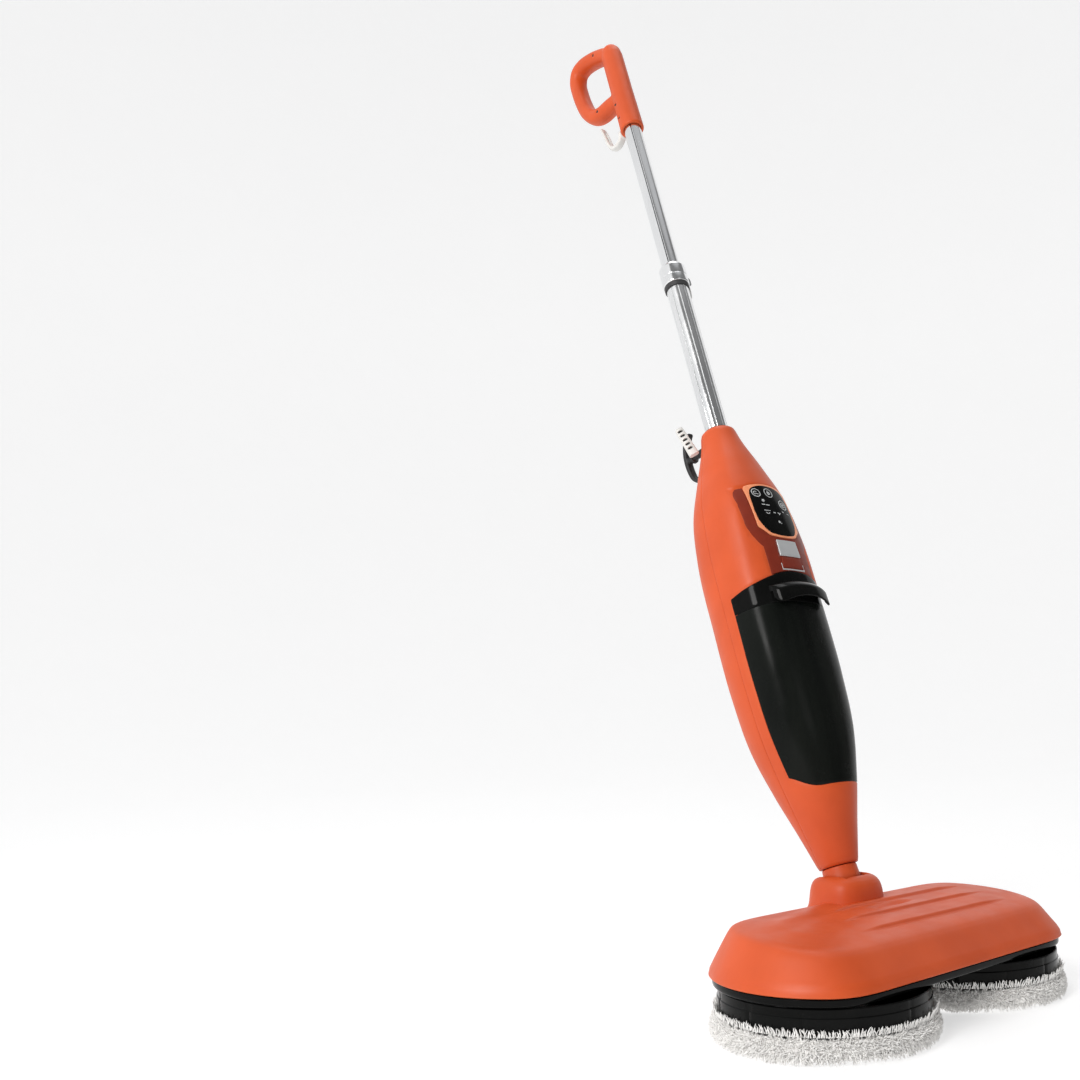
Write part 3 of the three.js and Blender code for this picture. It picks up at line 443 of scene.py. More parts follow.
# closed solids fused, cut, and their edges eased as a mould would leave them
def mouldedPiece(name, solids, cuts, place, look, voxel=1.0, rounds=4, keep=None):
    points, faces = joined(*solids)
    piece = addPiece(name, place(points), faces, look)
    addRemesh(piece, voxel)
    bakeModifiers(piece)
    if cuts:
        points, faces = joined(*cuts)
        tool = addPiece(name + "Cut", place(points), faces, look)
        addRemesh(tool, voxel * 0.6)
        bakeModifiers(tool)
        addBoolean(piece, "DIFFERENCE", tool)
        addRemesh(piece, voxel)
        bakeModifiers(piece)
        bpy.data.objects.remove(tool)
    ease = piece.modifiers.new("ease", "SMOOTH")
    ease.factor = 0.5
    ease.iterations = rounds
    if keep is None:
        bakeModifiers(piece)
    else:
        block = addPiece(name + "Block", place(keep[0]), keep[1], look)
        addBoolean(piece, "INTERSECT", block)
        bakeModifiers(piece)
        bpy.data.objects.remove(block)
    repaint(piece, look)
    piece.data.set_sharp_from_angle(angle=math.radians(40))
    return piece


# flat outlines
def orient(loop, anticlockwise=True):
    loop = np.asarray(loop, float)
    after = np.roll(loop, -1, axis=0)
    area = np.sum(loop[:, 0] * after[:, 1] - after[:, 0] * loop[:, 1])
    return loop if (area > 0) == anticlockwise else loop[::-1]


def densify(loop, spacing):
    loop = np.asarray(loop, float)
    points = []
    for here, after in zip(loop, np.roll(loop, -1, axis=0)):
        count = max(1, int(math.ceil(np.linalg.norm(after - here) / spacing)))
        if np.linalg.norm(after - here) < 1e-4:
            continue
        for step in range(count):
            points.append(here + (after - here) * step / count)
    return np.array(points)


# each point moved to the loop's left
def insetLoop(loop, distance):
    before = np.roll(loop, 1, axis=0)
    after = np.roll(loop, -1, axis=0)
    first = loop - before
    second = after - loop
    first /= np.linalg.norm(first, axis=1)[:, None]
    second /= np.linalg.norm(second, axis=1)[:, None]
    normals = np.stack([-(first[:, 1] + second[:, 1]), first[:, 0] + second[:, 0]], 1)
    lengths = np.linalg.norm(normals, axis=1)[:, None]
    reach = np.minimum(2 / np.maximum(lengths, 1e-6), 1.6)
    return loop + normals / np.maximum(lengths, 1e-6) * distance * reach


def roundCorners(corners, radius, steps=6):
    corners = [np.array(c, float) for c in corners]
    points = []
    count = len(corners)
    for index, here in enumerate(corners):
        back = corners[index - 1] - here
        ahead = corners[(index + 1) % count] - here
        reach = min(radius, np.linalg.norm(back) * 0.45, np.linalg.norm(ahead) * 0.45)
        start = here + back / np.linalg.norm(back) * reach
        end = here + ahead / np.linalg.norm(ahead) * reach
        for step in range(steps + 1):
            t = step / steps
            points.append((1 - t) ** 2 * start + 2 * t * (1 - t) * here + t ** 2 * end)
    return points


# points of a quadratic or cubic arc, without its first point
def curve(start, *controls, steps=14):
    points = [np.array(p, float) for p in (start, *controls)]
    result = []
    for step in range(1, steps + 1):
        t = step / steps
        level = points
        while len(level) > 1:
            level = [a * (1 - t) + b * t for a, b in zip(level, level[1:])]
        result.append(level[0])
    return result


# even-odd test of many points against closed loops
def insideLoops(points, loops):
    inside = np.zeros(len(points), bool)
    for loop in loops:
        after = np.roll(loop, -1, axis=0)
        for (x0, y0), (x1, y1) in zip(loop, after):
            if y0 == y1:
                continue
            crosses = (points[:, 1] > min(y0, y1)) & (points[:, 1] <= max(y0, y1))
            reach = x0 + (points[:, 1] - y0) * (x1 - x0) / (y1 - y0)
            inside ^= crosses & (points[:, 0] < reach)
    return inside


def farFromLoops(points, loops, distance):
    edge = np.concatenate(loops)
    keep = np.ones(len(points), bool)
    for start in range(0, len(points), 4000):
        part = points[start:start + 4000]
        gaps = np.min(np.linalg.norm(part[:, None, :] - edge[None, :, :], axis=2), axis=1)
        keep[start:start + 4000] = gaps > distance
    return keep


# triangles inside loops, round holes, through the given inner points
def fillLoops(loops, gridPoints):
    points = [tuple(p) for loop in loops for p in loop]
    edges = []
    start = 0
    for loop in loops:
        count = len(loop)
        edges.extend((start + i, start + (i + 1) % count) for i in range(count))
        start += count
    points.extend(tuple(p) for p in gridPoints)
    result = delaunay_2d_cdt([Vector(p) for p in points], edges, [], 2, 1e-6)
    flat = np.array([tuple(v) for v in result[0]])
    faces = []
    for face in result[2]:
        a, b, c = (flat[i] for i in face[:3])
        turning = (b[0] - a[0]) * (c[1] - a[1]) - (b[1] - a[1]) * (c[0] - a[0])
        faces.append(tuple(face) if turning > 0 else tuple(reversed(face)))
    return flat, faces


# a moulded skin over an outline: its face follows surface, its edges roll over and turn in
def skinForm(outer, holes, surface, roll=0.6, depth=2.4, lift=0.0, spacing=3.2, edge=1.8):
    loops = [densify(orient(outer, True), edge)] + [densify(orient(hole, False), edge) for hole in holes]
    turns = [(0, -depth), (0, -roll), (0.134 * roll, -0.5 * roll), (0.5 * roll, -0.134 * roll), (roll, 0)]
    inner = [insetLoop(loop, roll) for loop in loops]
    low = inner[0].min(0)
    high = inner[0].max(0)
    across, up = np.meshgrid(np.arange(low[0], high[0], spacing), np.arange(low[1], high[1], spacing))
    grid = np.stack([across.ravel(), up.ravel()], 1)
    grid = grid[insideLoops(grid, inner)]
    grid = grid[farFromLoops(grid, inner, spacing * 0.45)]
    flat, faces = fillLoops(inner, grid)
    points = [surface(flat[:, 0], flat[:, 1], lift)]
    total = len(flat)
    # the filled face keeps the loops' points first, so the rolled edge joins on by number
    start = 0
    for loop in loops:
        count = len(loop)
        top = list(range(start, start + count))
        for inset, drop in reversed(turns[:-1]):
            ring = insetLoop(loop, inset) if inset else loop
            points.append(surface(ring[:, 0], ring[:, 1], lift + drop))
            below = list(range(total, total + count))
            for i in range(count):
                j = (i + 1) % count
                faces.append((below[i], below[j], top[j], top[i]))
            top = below
            total += count
        start += count
    return np.concatenate(points), faces


# the floor head: a skirted cover over two round pads
cover = {
    "endRadius": 105, "halfDepth": 90, "corner": 16,
    "rim": 54,
    "slope": 0.085,
    "profileIn": (0, 1.2, 4, 17.5, 21, 24.5, 30, 62),
    "profileUp": (54, 59.5, 64.5, 85.6, 90.0, 91.9, 93.2, 96.4),
    "tilted": (0, 0, 0.05, 0.8, 1, 1, 1, 1),  # how far each height follows the slope towards the back
    "crease": 25.5,
    "ribs": ((24, -78, 150), (-8, -90, 146), (-40, -102, 138)),  # y, first x, last x
    "ribStep": 2.1,
    "ribWidth": 1.0,
    "spine": ((-172, 14), (-30, 58)),
    "spineHeight": 1.7,
    "scoop": (6, 9, 36, 8, 3.6),
    "well": (23, 63, 19, 91.5),  # half width, middle, half length and floor of the hollow under the neck
}


def blendMin(first, second, soft):
    mix = np.clip(0.5 + 0.5 * (second - first) / soft, 0, 1)
    return second * (1 - mix) + first * mix - soft * mix * (1 - mix)


# how far a point of the plan lies inside the rim
def coverDepthIn(x, y, spec=cover):
    ends = spec["endRadius"] - np.hypot(np.maximum(np.abs(x) - padSpacing, 0), y)
    strip = spec["halfDepth"] - np.abs(y)
    return blendMin(ends, strip, spec["corner"])


def coverHeight(x, y, spec=cover):
    inside = coverDepthIn(x, y, spec)
    height = np.interp(inside, spec["profileIn"], spec["profileUp"])
    softened = 0
    for shift in (-1.6, -0.8, 0, 0.8, 1.6):
        softened = softened + np.interp(inside + shift, spec["profileIn"], spec["profileUp"]) / 5
    height = np.where(inside > 6, softened, height)
    height = height + spec["slope"] * y * np.interp(inside, spec["profileIn"], spec["tilted"])
    flat = np.clip((inside - spec["crease"]) / 10, 0, 1)
    for ribY, first, last in spec["ribs"]:
        fade = np.clip((x - first) / 30, 0, 1) * np.clip((last - x) / 40, 0, 1) * flat
        rise = 1 / (1 + np.exp(-(y - ribY) / spec["ribWidth"] * 2.2))
        ramp = np.exp(-np.maximum(y - ribY, 0) / 22)
        dip = 0.35 * np.exp(-((y - ribY + 2.4) / 2.0) ** 2)
        height = height + spec["ribStep"] * fade * (rise * ramp - dip)
    (x0, y0), (x1, y1) = spec["spine"]
    run = np.clip(((x - x0) * (x1 - x0) + (y - y0) * (y1 - y0)) / ((x1 - x0) ** 2 + (y1 - y0) ** 2), 0, 1)
    away = np.hypot(x - x0 - run * (x1 - x0), y - y0 - run * (y1 - y0))
    swell = np.clip(run * 1.6, 0, 1) * np.clip((inside - spec["crease"]) / 16, 0, 1)
    height = height + spec["spineHeight"] * swell * np.exp(-(away / 9) ** 2)
    height = height - spec["spineHeight"] * 0.7 * swell * np.exp(-((away - 19) / 9) ** 2)
    scoopX, scoopY, reachX, reachY, drop = spec["scoop"]
    bowl = ((x - scoopX) / reachX) ** 2 + ((y - scoopY) / reachY) ** 2
    lipped = np.clip((1 - bowl) * 1.4, 0, 1) * np.clip((y - scoopY + reachY) / reachY, 0, 1)
    height = height - drop * lipped
    wellX, wellY, wellReach, floor = spec["well"]
    under = np.clip((wellX - np.abs(x)) / 2, 0, 1) * np.clip((wellReach - np.abs(y - wellY)) / 2, 0, 1)
    return np.where(height > floor, height - (height - floor) * under, height)


# the plan's outline at a given distance inside the rim
def planRing(inside, spec=cover, count=300):
    angles = np.arange(count) * 2 * math.pi / count
    reachX = padSpacing + spec["endRadius"]
    heading = np.stack([np.cos(angles) * reachX, np.sin(angles) * spec["halfDepth"] * 1.25], 1)
    heading /= np.linalg.norm(heading, axis=1)[:, None]
    near = np.zeros(count)
    far = np.full(count, reachX + 20.0)
    for _ in range(34):
        middle = (near + far) / 2
        outside = coverDepthIn(heading[:, 0] * middle, heading[:, 1] * middle, spec) < inside
        far = np.where(outside, middle, far)
        near = np.where(outside, near, middle)
    ring = heading * near[:, None]
    whole = np.vstack([ring, ring[:1]])
    lengths = np.concatenate([[0], np.cumsum(np.linalg.norm(np.diff(whole, axis=0), axis=1))])
    places = np.linspace(0, lengths[-1], count, endpoint=False)
    return np.stack([np.interp(places, lengths, whole[:, axis]) for axis in (0, 1)], 1)


def ringAt(inside, height=None, spec=cover):
    plan = planRing(inside, spec)
    up = coverHeight(plan[:, 0], plan[:, 1], spec) if height is None else np.full(len(plan), float(height))
    return np.column_stack([plan, up])


def buildCover(spec=cover):
    wall = 2.4
    rings = [ringAt(wall + 4, spec["rim"] + 6), ringAt(wall, spec["rim"] + 3),
             ringAt(wall, spec["rim"] + 0.6),
             ringAt(wall - 0.5, spec["rim"]), ringAt(0.7, spec["rim"]), ringAt(0.02, spec["rim"] + 0.7)]
    for inside in (0.5, 1.2, 2.2, 3.0, 4.0, 5.2, 7, 9.5, 12, 14, 15.5, 16.5, 17.5, 18.4, 19.3,
                   20.2, 21.2, 22.4,
                   23.6, 25, 26.5):
        rings.append(ringAt(inside))
    points, faces = stackRings(rings, (False, False))
    edge = rings[-1][:, :2]
    lines = [spec["halfDepth"] * t for t in np.linspace(-1, 1, 61)]
    for ribY, _, _ in spec["ribs"]:
        lines.extend(ribY + shift for shift in (-5, -4, -3, -2.2, -1.5, -0.9, -0.3, 0.3, 0.9, 1.5,
                                                2.2, 3.2, 4.5))
    lines = np.array(sorted(lines))
    lines = lines[np.concatenate([[True], np.diff(lines) > 0.45])]
    across, up = np.meshgrid(np.arange(-190, 191, 3.0), lines)
    grid = np.stack([across.ravel(), up.ravel()], 1)
    grid = grid[insideLoops(grid, [edge])]
    grid = grid[farFromLoops(grid, [edge], 1.2)]
    flat, top = fillLoops([edge], grid)
    shift = len(points) - len(edge)
    inner = np.column_stack([flat[len(edge):], coverHeight(flat[len(edge):, 0], flat[len(edge):, 1], spec)])
    faces.extend(tuple(i + shift for i in face) for face in top)
    return fit(addPiece("headCover", inHead(np.concatenate([points, inner])), faces, "orange_shell", 50),
               "head", "orange_shell", "head_cover")


buildCover()

turret = {
    "middle": 61, "halfWide": 36, "halfDeep": 32, "squareness": 2.8,
    "heights": (86, 89, 92, 96, 103, 108, 112.5, 116.5, 119.8, 122.3, 123.7, 124.2),
    "grow": (9, 5.0, 2.8, 1.5, 0.6, 0, -0.9, -2.4, -4.8, -8.2, -12.2, -16.5),
    "slotHalf": 19.8, "slotFront": 43.5, "slotRear": 24,
    "slotFloor": 93.5,
}


def buildTurret(spec=turret):
    angles = np.arange(64) * 2 * math.pi / 64
    power = 2 / spec["squareness"]
    rings = []
    for height, grow in zip(spec["heights"], spec["grow"]):
        x = np.sign(np.cos(angles)) * (spec["halfWide"] + grow) * np.abs(np.cos(angles)) ** power
        y = np.sign(np.sin(angles)) * (spec["halfDeep"] + grow) * np.abs(np.sin(angles)) ** power
        rings.append(np.column_stack([x, y + spec["middle"], np.full(64, float(height))]))
    housing = stackRings(rings)
    floor = spec["slotFloor"]
    wide = spec["slotHalf"]
    rear = spec["slotRear"]
    cuts = [boxForm((-wide, spec["slotFront"], floor), (wide, 110, 140)),
            boxForm((-rear, 69, floor), (rear, 110, 140))]
    piece = mouldedPiece("turretHousing", [housing], cuts, inHead, "orange_shell", 0.9, 3)
    return fit(piece, "head", "orange_shell", "head_cover")


buildTurret()

tray = {
    "profile": ((16, 45.4), (6.5, 45.4), (3.6, 46.2), (3.0, 48.5), (3.0, 52.6), (4.2, 53.6), (8, 53.7)),
    "hubHole": 9.4, "nozzleHole": (13, 9),
}


def buildTray(spec=tray):
    corners = easedProfile(spec["profile"], 1.2, 3)
    points, faces = stackRings([ringAt(inside, up) for inside, up in corners], (False, False))
    floor = ringAt(spec["profile"][0][0], spec["profile"][0][1])[:, :2]
    hub = spec["hubHole"]
    wide, deep = spec["nozzleHole"]
    angles = np.arange(48) * 2 * math.pi / 48
    holes = []
    for side in (-1, 1):
        holes.append(np.stack([side * padSpacing + hub * np.cos(angles), hub * np.sin(angles)], 1))
    holes.append(orient(densify([(-wide, -deep), (wide, -deep), (wide, deep), (-wide, deep)], 2)))
    flat, under = fillLoops([floor] + [orient(hole, False) for hole in holes], np.zeros((0, 2)))
    base = np.column_stack([flat, np.full(len(flat), float(spec["profile"][0][1]))])
    shape = joined((points, faces), (base, [tuple(reversed(face)) for face in under]))
    return addFitted("chassisTray", shape, inHead, "gloss_black", "head", "gloss_black", "chassis_tray", 45)


buildTray()
print("head cover, turret and tray made")

skirt = {
    "bottom": 20.8,
    "panels": 12, "grooveWide": 0.030, "grooveDeep": 0.9,
    "outline": ((97.2, 20.9), (98, 21.6), (98, 36.2), (97.2, 37.2), (97.2, 43.6), (96.6, 44.4), (95.4, 44.4)),
    "inside": ((95, 43.8), (95, 24.4), (94.4, 23.8), (12, 23.8), (10.4, 39.4), (10, 40), (6.6, 40),
               (6.4, 39.6),
               (6.4, 24)),
}


def buildSkirt(side, name, body, spec=skirt):
    sides = 240
    rings = []
    angles = np.arange(sides) * 2 * math.pi / sides
    beat = (angles * spec["panels"] / (2 * math.pi)) % 1
    groove = np.exp(-((np.minimum(beat, 1 - beat)) / spec["grooveWide"]) ** 2)
    for radius, height in spec["outline"] + spec["inside"]:
        deep = spec["grooveDeep"] * groove * (radius > 95.2) * (height < 38)
        reach = radius - deep
        rings.append(np.column_stack([side * padSpacing + reach * np.cos(angles), reach * np.sin(angles),
                                      np.full(sides, float(height))]))
    bottom = turnedForm([(0.5, spec["bottom"] + 0.1), (90, spec["bottom"] + 0.1)], sides,
                        (side * padSpacing, 0))
    return addFitted(name, stackRings(bottom + rings, (True, False)), inHead, "gloss_black", body,
                     "gloss_black", body + "_disc", 34)


buildSkirt(-1, "leftSkirt", "left_pad")
buildSkirt(1, "rightSkirt", "right_pad")

mopPad = {
    "outline": ((0, 1.8), (60, 1.8), (93, 1.9), (99.5, 3.2), (102.6, 7), (103.4, 12), (102.4, 18),
                (100.8, 22),
                (99.6, 23.8), (98.9, 23.6), (98.7, 20.2), (60, 19.6), (0, 19.6)),
    "voxel": 5, "pressure": 4, "cap": 2.5, "frames": 20,
    "tufts": 8600, "tuftLong": (3.2, 5.6), "tuftThick": (0.46, 0.72),
    "collar": 560, "collarLong": (4.5, 8.0),
}


# the foam core swells under its cloth, no further than the cap, and stays flat on the floor
def puffPad(piece, middle, spec=mopPad):
    addRemesh(piece, spec["voxel"])
    bakeModifiers(piece)
    start = np.array([tuple(v.co) for v in piece.data.vertices])
    cloth = piece.modifiers.new("cloth", "CLOTH")
    cloth.settings.use_pressure = True
    cloth.settings.uniform_pressure_force = spec["pressure"]
    cloth.settings.effector_weights.gravity = 0
    for step in range(1, spec["frames"] + 1):
        scene.frame_set(step)
    bakeModifiers(piece)
    scene.frame_set(1)
    ended = np.array([tuple(v.co) for v in piece.data.vertices])
    moved = ended - start
    length = np.linalg.norm(moved, axis=1)[:, None]
    ended = start + moved * np.minimum(1, spec["cap"] * mm / np.maximum(length, 1e-9))
    away = np.hypot(ended[:, 0] - middle[0], ended[:, 1] - middle[1])
    ended[:, 2] = np.maximum(ended[:, 2], 0.6 * mm)
    ended[:, 2] = np.where(away < 97.5 * mm, np.minimum(ended[:, 2], 20.2 * mm), ended[:, 2])
    piece.data.vertices.foreach_set("co", ended.astype(np.float32).ravel())
    finer = piece.modifiers.new("finer", "SUBSURF")
    finer.levels = finer.render_levels = 1
    return bakeModifiers(piece)


# one soft bent strand: four rings of three corners and a blunt tip
def tuftForm(root, heading, droop, length, thick):
    side = heading.cross(Vector((0.31, 0.17, 0.93))).normalized()
    other = heading.cross(side)
    points = []
    for step, (share, girth) in enumerate(((0, 1.0), (0.4, 1.0), (0.75, 0.85), (1.0, 0.35))):
        centre = root + heading * length * share + droop * length * share * share
        for corner in range(3):
            angle = corner * 2 * math.pi / 3 + step * 0.35
            points.append(tuple(centre + (side * math.cos(angle) + other * math.sin(angle)) * thick * girth))
    faces = []
    for level in range(3):
        for corner in range(3):
            after = (corner + 1) % 3
            faces.append((level * 3 + corner, level * 3 + after, level * 3 + 3 + after,
                          level * 3 + 3 + corner))
    faces.append((9, 10, 11))
    faces.append((2, 1, 0))
    return points, faces


def buildPad(side, name, body, spec=mopPad):
    middle = headMiddle + Vector((side * padSpacing * mm, 0, 0))
    points, faces = stackRings(turnedForm([(max(r, 0.4), h) for r, h in spec["outline"]], 90,
                                          (side * padSpacing, 0)), (True, True))
    core = addPiece(name, inHead(points), faces, "microfibre", 80)
    puffPad(core, middle)
    repaint(core, "microfibre")
    fit(core, body, "microfibre", body.replace("_pad", "_mop_pad"))
    # the pile: strands on the side and the upper rim, and longer ones that stand against the skirt
    mesh = core.data
    mesh.calc_loop_triangles()
    places = []
    weights = []
    for triangle in mesh.loop_triangles:
        centre = sum((mesh.vertices[i].co for i in triangle.vertices), Vector()) / 3
        reach = math.hypot(centre.x - middle.x, centre.y - middle.y) / mm
        if reach > 97.2 and triangle.normal.z > -0.75:
            places.append(triangle)
            weights.append(triangle.area)
    strands = []
    chosen = rng.choices(range(len(places)), weights=weights, k=spec["tufts"])
    for index in chosen:
        triangle = places[index]
        first, second = rng.random(), rng.random()
        if first + second > 1:
            first, second = 1 - first, 1 - second
        a, b, c = (mesh.vertices[i].co for i in triangle.vertices)
        root = a + (b - a) * first + (c - a) * second
        outward = Vector((root.x - middle.x, root.y - middle.y, 0)).normalized()
        around = Vector((-outward.y, outward.x, 0))
        swing = rng.uniform(-0.75, 0.75)
        heading = triangle.normal + around * swing + Vector((0, 0, rng.uniform(-0.55, 0.7)))
        heading.normalize()
        droop = around * rng.uniform(-0.55, 0.55) + Vector((0, 0, rng.uniform(-0.6, 0.25)))
        strands.append(tuftForm(root - heading * 0.6 * mm, heading, droop,
                                rng.uniform(*spec["tuftLong"]) * mm,
                                rng.uniform(*spec["tuftThick"]) * mm))
    for index in range(spec["collar"]):
        angle = (index + rng.uniform(-0.3, 0.3)) * 2 * math.pi / spec["collar"]
        outward = Vector((math.cos(angle), math.sin(angle), 0))
        around = Vector((-outward.y, outward.x, 0))
        root = middle + outward * rng.uniform(99.3, 100.8) * mm + Vector((0, 0, 22.4 * mm))
        heading = (Vector((0, 0, 1)) + outward * rng.uniform(-0.02, 0.35) + around * rng.uniform(-0.5, 0.5))
        heading.normalize()
        droop = outward * rng.uniform(0.0, 0.25) + around * rng.uniform(-0.3, 0.3)
        strands.append(tuftForm(root, heading, droop, rng.uniform(*spec["collarLong"]) * mm,
                                rng.uniform(*spec["tuftThick"]) * mm))
    points = []
    faces = []
    for strandPoints, strandFaces in strands:
        shift = len(points)
        points.extend((x, y, max(z, 0.3 * mm)) for x, y, z in strandPoints)
        faces.extend(tuple(i + shift for i in face) for face in strandFaces)
    pile = addPiece(name + "Pile", points, faces, "microfibre", 75)
    fit(pile, body, "microfibre", body.replace("_pad", "_mop_pad"))
    return core


buildPad(-1, "leftMopPad", "left_pad")
buildPad(1, "rightMopPad", "right_pad")
print("skirts and mop pads made")


# the wand's body: an oval, boxier where it is wide, with a soft fold down each side of its front
shell = {
    "heights": (22, 60, 110, 160, 220, 300, 390, 440, 490, 528, 549),
    "halves": (21, 31.5, 46, 57.5, 62.5, 63.5, 61.5, 54.5, 38, 25, 20.5),
    "sideFlat": 0.03, "frontFlat": 0.14, "backFlat": 0.06, "squareness": 0.5,
    "foldHeights": (300, 344, 405, 474, 524), "foldSides": (54, 53.5, 49, 33, 18),
    "foldHeight": 1.5, "foldSoft": 1.4, "foldWide": 9,
    "unroll": 58.0,
    "seam": 8, "gap": 0.32, "wall": 2.4,
    "topRound": 5.6, "footRound": 1.6,
    "bottom": 22, "top": 549,
}


def bodyHalf(height, spec=shell):
    half = smoothThrough(spec["heights"], spec["halves"], height)
    over = np.clip((height - spec["top"] + spec["topRound"]) / spec["topRound"], 0, 1)
    under = np.clip((spec["bottom"] + spec["footRound"] - height) / spec["footRound"], 0, 1)
    half = half - spec["topRound"] * (1 - np.sqrt(1 - over ** 2 * 0.995))
    return half - spec["footRound"] * (1 - np.sqrt(1 - under ** 2 * 0.995))


# half width, front depth, rear depth and power of the section
def bodySection(height, spec=shell):
    half = bodyHalf(height, spec)
    full = np.clip((half - 21) / 43, 0, 1)
    return (half * (1 - spec["sideFlat"] * full), half * (1 - spec["frontFlat"] * full),
            half * (1 - spec["backFlat"] * full), 2 + spec["squareness"] * full)


# a point of the body's skin; around is its place in millimetres from the middle of the front
def bodySurface(around, height, lift=0.0, spec=shell):
    around = np.asarray(around, float)
    height = np.asarray(height, float)
    wide, front, back, power = bodySection(height, spec)
    turn = around / spec["unroll"]
    x = np.sin(turn)
    y = -np.cos(turn)
    deep = np.where(y < 0, front, back)
    reach = (np.abs(x / (wide + lift)) ** power + np.abs(y / (deep + lift)) ** power) ** (-1 / power)
    foldSide = np.interp(height, spec["foldHeights"], spec["foldSides"])
    off = np.abs(x * reach) - foldSide
    swell = np.exp(-(np.sqrt(off ** 2 + spec["foldSoft"] ** 2) - spec["foldSoft"]) / spec["foldWide"])
    fade = np.clip((height - 150) / 170, 0, 1) * np.clip((545 - height) / 50, 0, 1) * np.clip(-y * 3, 0, 1)
    reach = reach + spec["foldHeight"] * swell * fade
    return np.stack([x * reach, y * reach, height], -1)


# the unrolled place of a point seen from the front at x
def aroundAtX(x, height, spec=shell):
    wide, front, _, power = bodySection(height, spec)
    share = np.clip(np.abs(x) / wide, 0, 1)
    return np.sign(x) * spec["unroll"] * np.arctan2(share * wide, front * (1 - share ** power) ** (1 / power))


# the unrolled place where the skin crosses the plane y
def aroundAtDepth(y, height, spec=shell):
    wide, front, back, power = bodySection(height, spec)
    deep = np.where(np.asarray(y) < 0, front, back)
    x = wide * (1 - np.clip(np.abs(y) / deep, 0, 1) ** power) ** (1 / power)
    return spec["unroll"] * np.arctan2(x, -y)


# an outline drawn from the front, laid on the skin and stopped at the plane y = depth
def onBody(outline, depth=-6.0, spacing=2.0):
    drawn = densify(outline, spacing)
    limit = aroundAtDepth(depth, drawn[:, 1])
    around = aroundAtX(drawn[:, 0], drawn[:, 1])
    return np.stack([np.clip(around, -limit, limit), drawn[:, 1]], 1)


tank = {
    "back": -6.0, "top": 318, "crownRise": 18.5, "side": 68,
    "foot": 100.5, "shoulder": 158, "footHalf": 26, "footBend": 48,
    "lidLine": 299.8, "gap": 0.35,
}


def tankArch(x, spec=tank):
    return spec["top"] + spec["crownRise"] * (1 - (x / spec["side"]) ** 2)


# down the left side, round the foot and up the right side
def tankSides(margin, upTo, spec=tank):
    bend = spec["footBend"] + margin
    foot = spec["foot"] - margin
    side = spec["side"]
    half = spec["footHalf"]
    path = [(-side, upTo), (-side, spec["shoulder"])]
    path += [tuple(p) for p in curve(path[-1], (-bend, 128), (-bend, foot), (-half, foot), steps=18)]
    path.append((half, foot))
    path += [tuple(p) for p in curve(path[-1], (bend, foot), (bend, 128), (side, spec["shoulder"]), steps=18)]
    path.append((side, upTo))
    return path


def tankTop(margin, fromX, toX, spec=tank):
    count = max(3, int(abs(toX - fromX) / 3))
    return [(x, float(tankArch(x, spec)) + margin) for x in np.linspace(fromX, toX, count)]


panel = {
    "half": 30, "bottom": 381, "top": 446, "crown": 452,
    "corner": 12, "side": 2.2, "foot": 1.1, "head": 0.5,
    "trimHalf": 44, "trimWaist": 34, "trimTop": 446, "shoulder": 381, "step": 367,
    "gap": 0.3,
}


def panelLoop(side, foot, head, spec=panel):
    half = spec["half"] + side
    low = spec["bottom"] - foot
    high = spec["top"] + head
    cut = spec["corner"]
    corners = [(-half, high - 2), (-half, low + cut), (-half + cut, low + 1)]
    corners += [tuple(p) for p in curve(corners[-1], (0, low - 3), (half - cut, low + 1), steps=6)]
    corners += [(half, low + cut), (half, high - 2), (half - 3.5, high + 1.0)]
    crown = (0, spec["crown"] + head + 2)
    corners += [tuple(p) for p in curve(corners[-1], crown, (-half + 3.5, high + 1.0), steps=10)]
    return roundCorners(corners, 2.4, 4)


# the trim's right side, from its top corner down to the tank
def trimEdge(margin, spec=panel):
    wide = spec["trimHalf"] + margin
    waist = spec["trimWaist"] + margin
    return [(wide, spec["trimTop"] + margin), (wide, spec["shoulder"]), (waist, spec["step"]),
            (waist, float(tankArch(waist)) + tank["gap"])]


def panelParts(side, foot, head, height):
    # the panel's outline split at a height: the crown and the rest, each from left to right
    loop = densify(orient(panelLoop(side, foot, head), True), 1.0)
    crown = loop[loop[:, 1] > height]
    crown = crown[np.argsort(crown[:, 0], kind="stable")]
    rest = loop[loop[:, 1] <= height]
    start = int(np.argmax(np.linalg.norm(rest - np.roll(rest, 1, axis=0), axis=1)))
    rest = np.roll(rest, -start, axis=0)
    return crown.tolist(), rest.tolist()


# one opening for tank, trim and panel, drawn anticlockwise from the right foot of the trim
def frontOpening(spec=panel):
    margin = spec["gap"]
    right = trimEdge(margin)
    left = [(-x, y) for x, y in right]
    above, _ = panelParts(spec["side"] + margin, spec["foot"], spec["head"] + margin,
                          spec["trimTop"] + margin)
    loop = list(reversed(right))
    loop += list(reversed(above))
    loop += left
    loop += tankTop(tank["gap"], left[-1][0], -tank["side"])[1:]
    loop += tankSides(tank["gap"], float(tankArch(tank["side"])))[1:]
    loop += tankTop(tank["gap"], tank["side"], right[-1][0])[1:-1]
    return loop


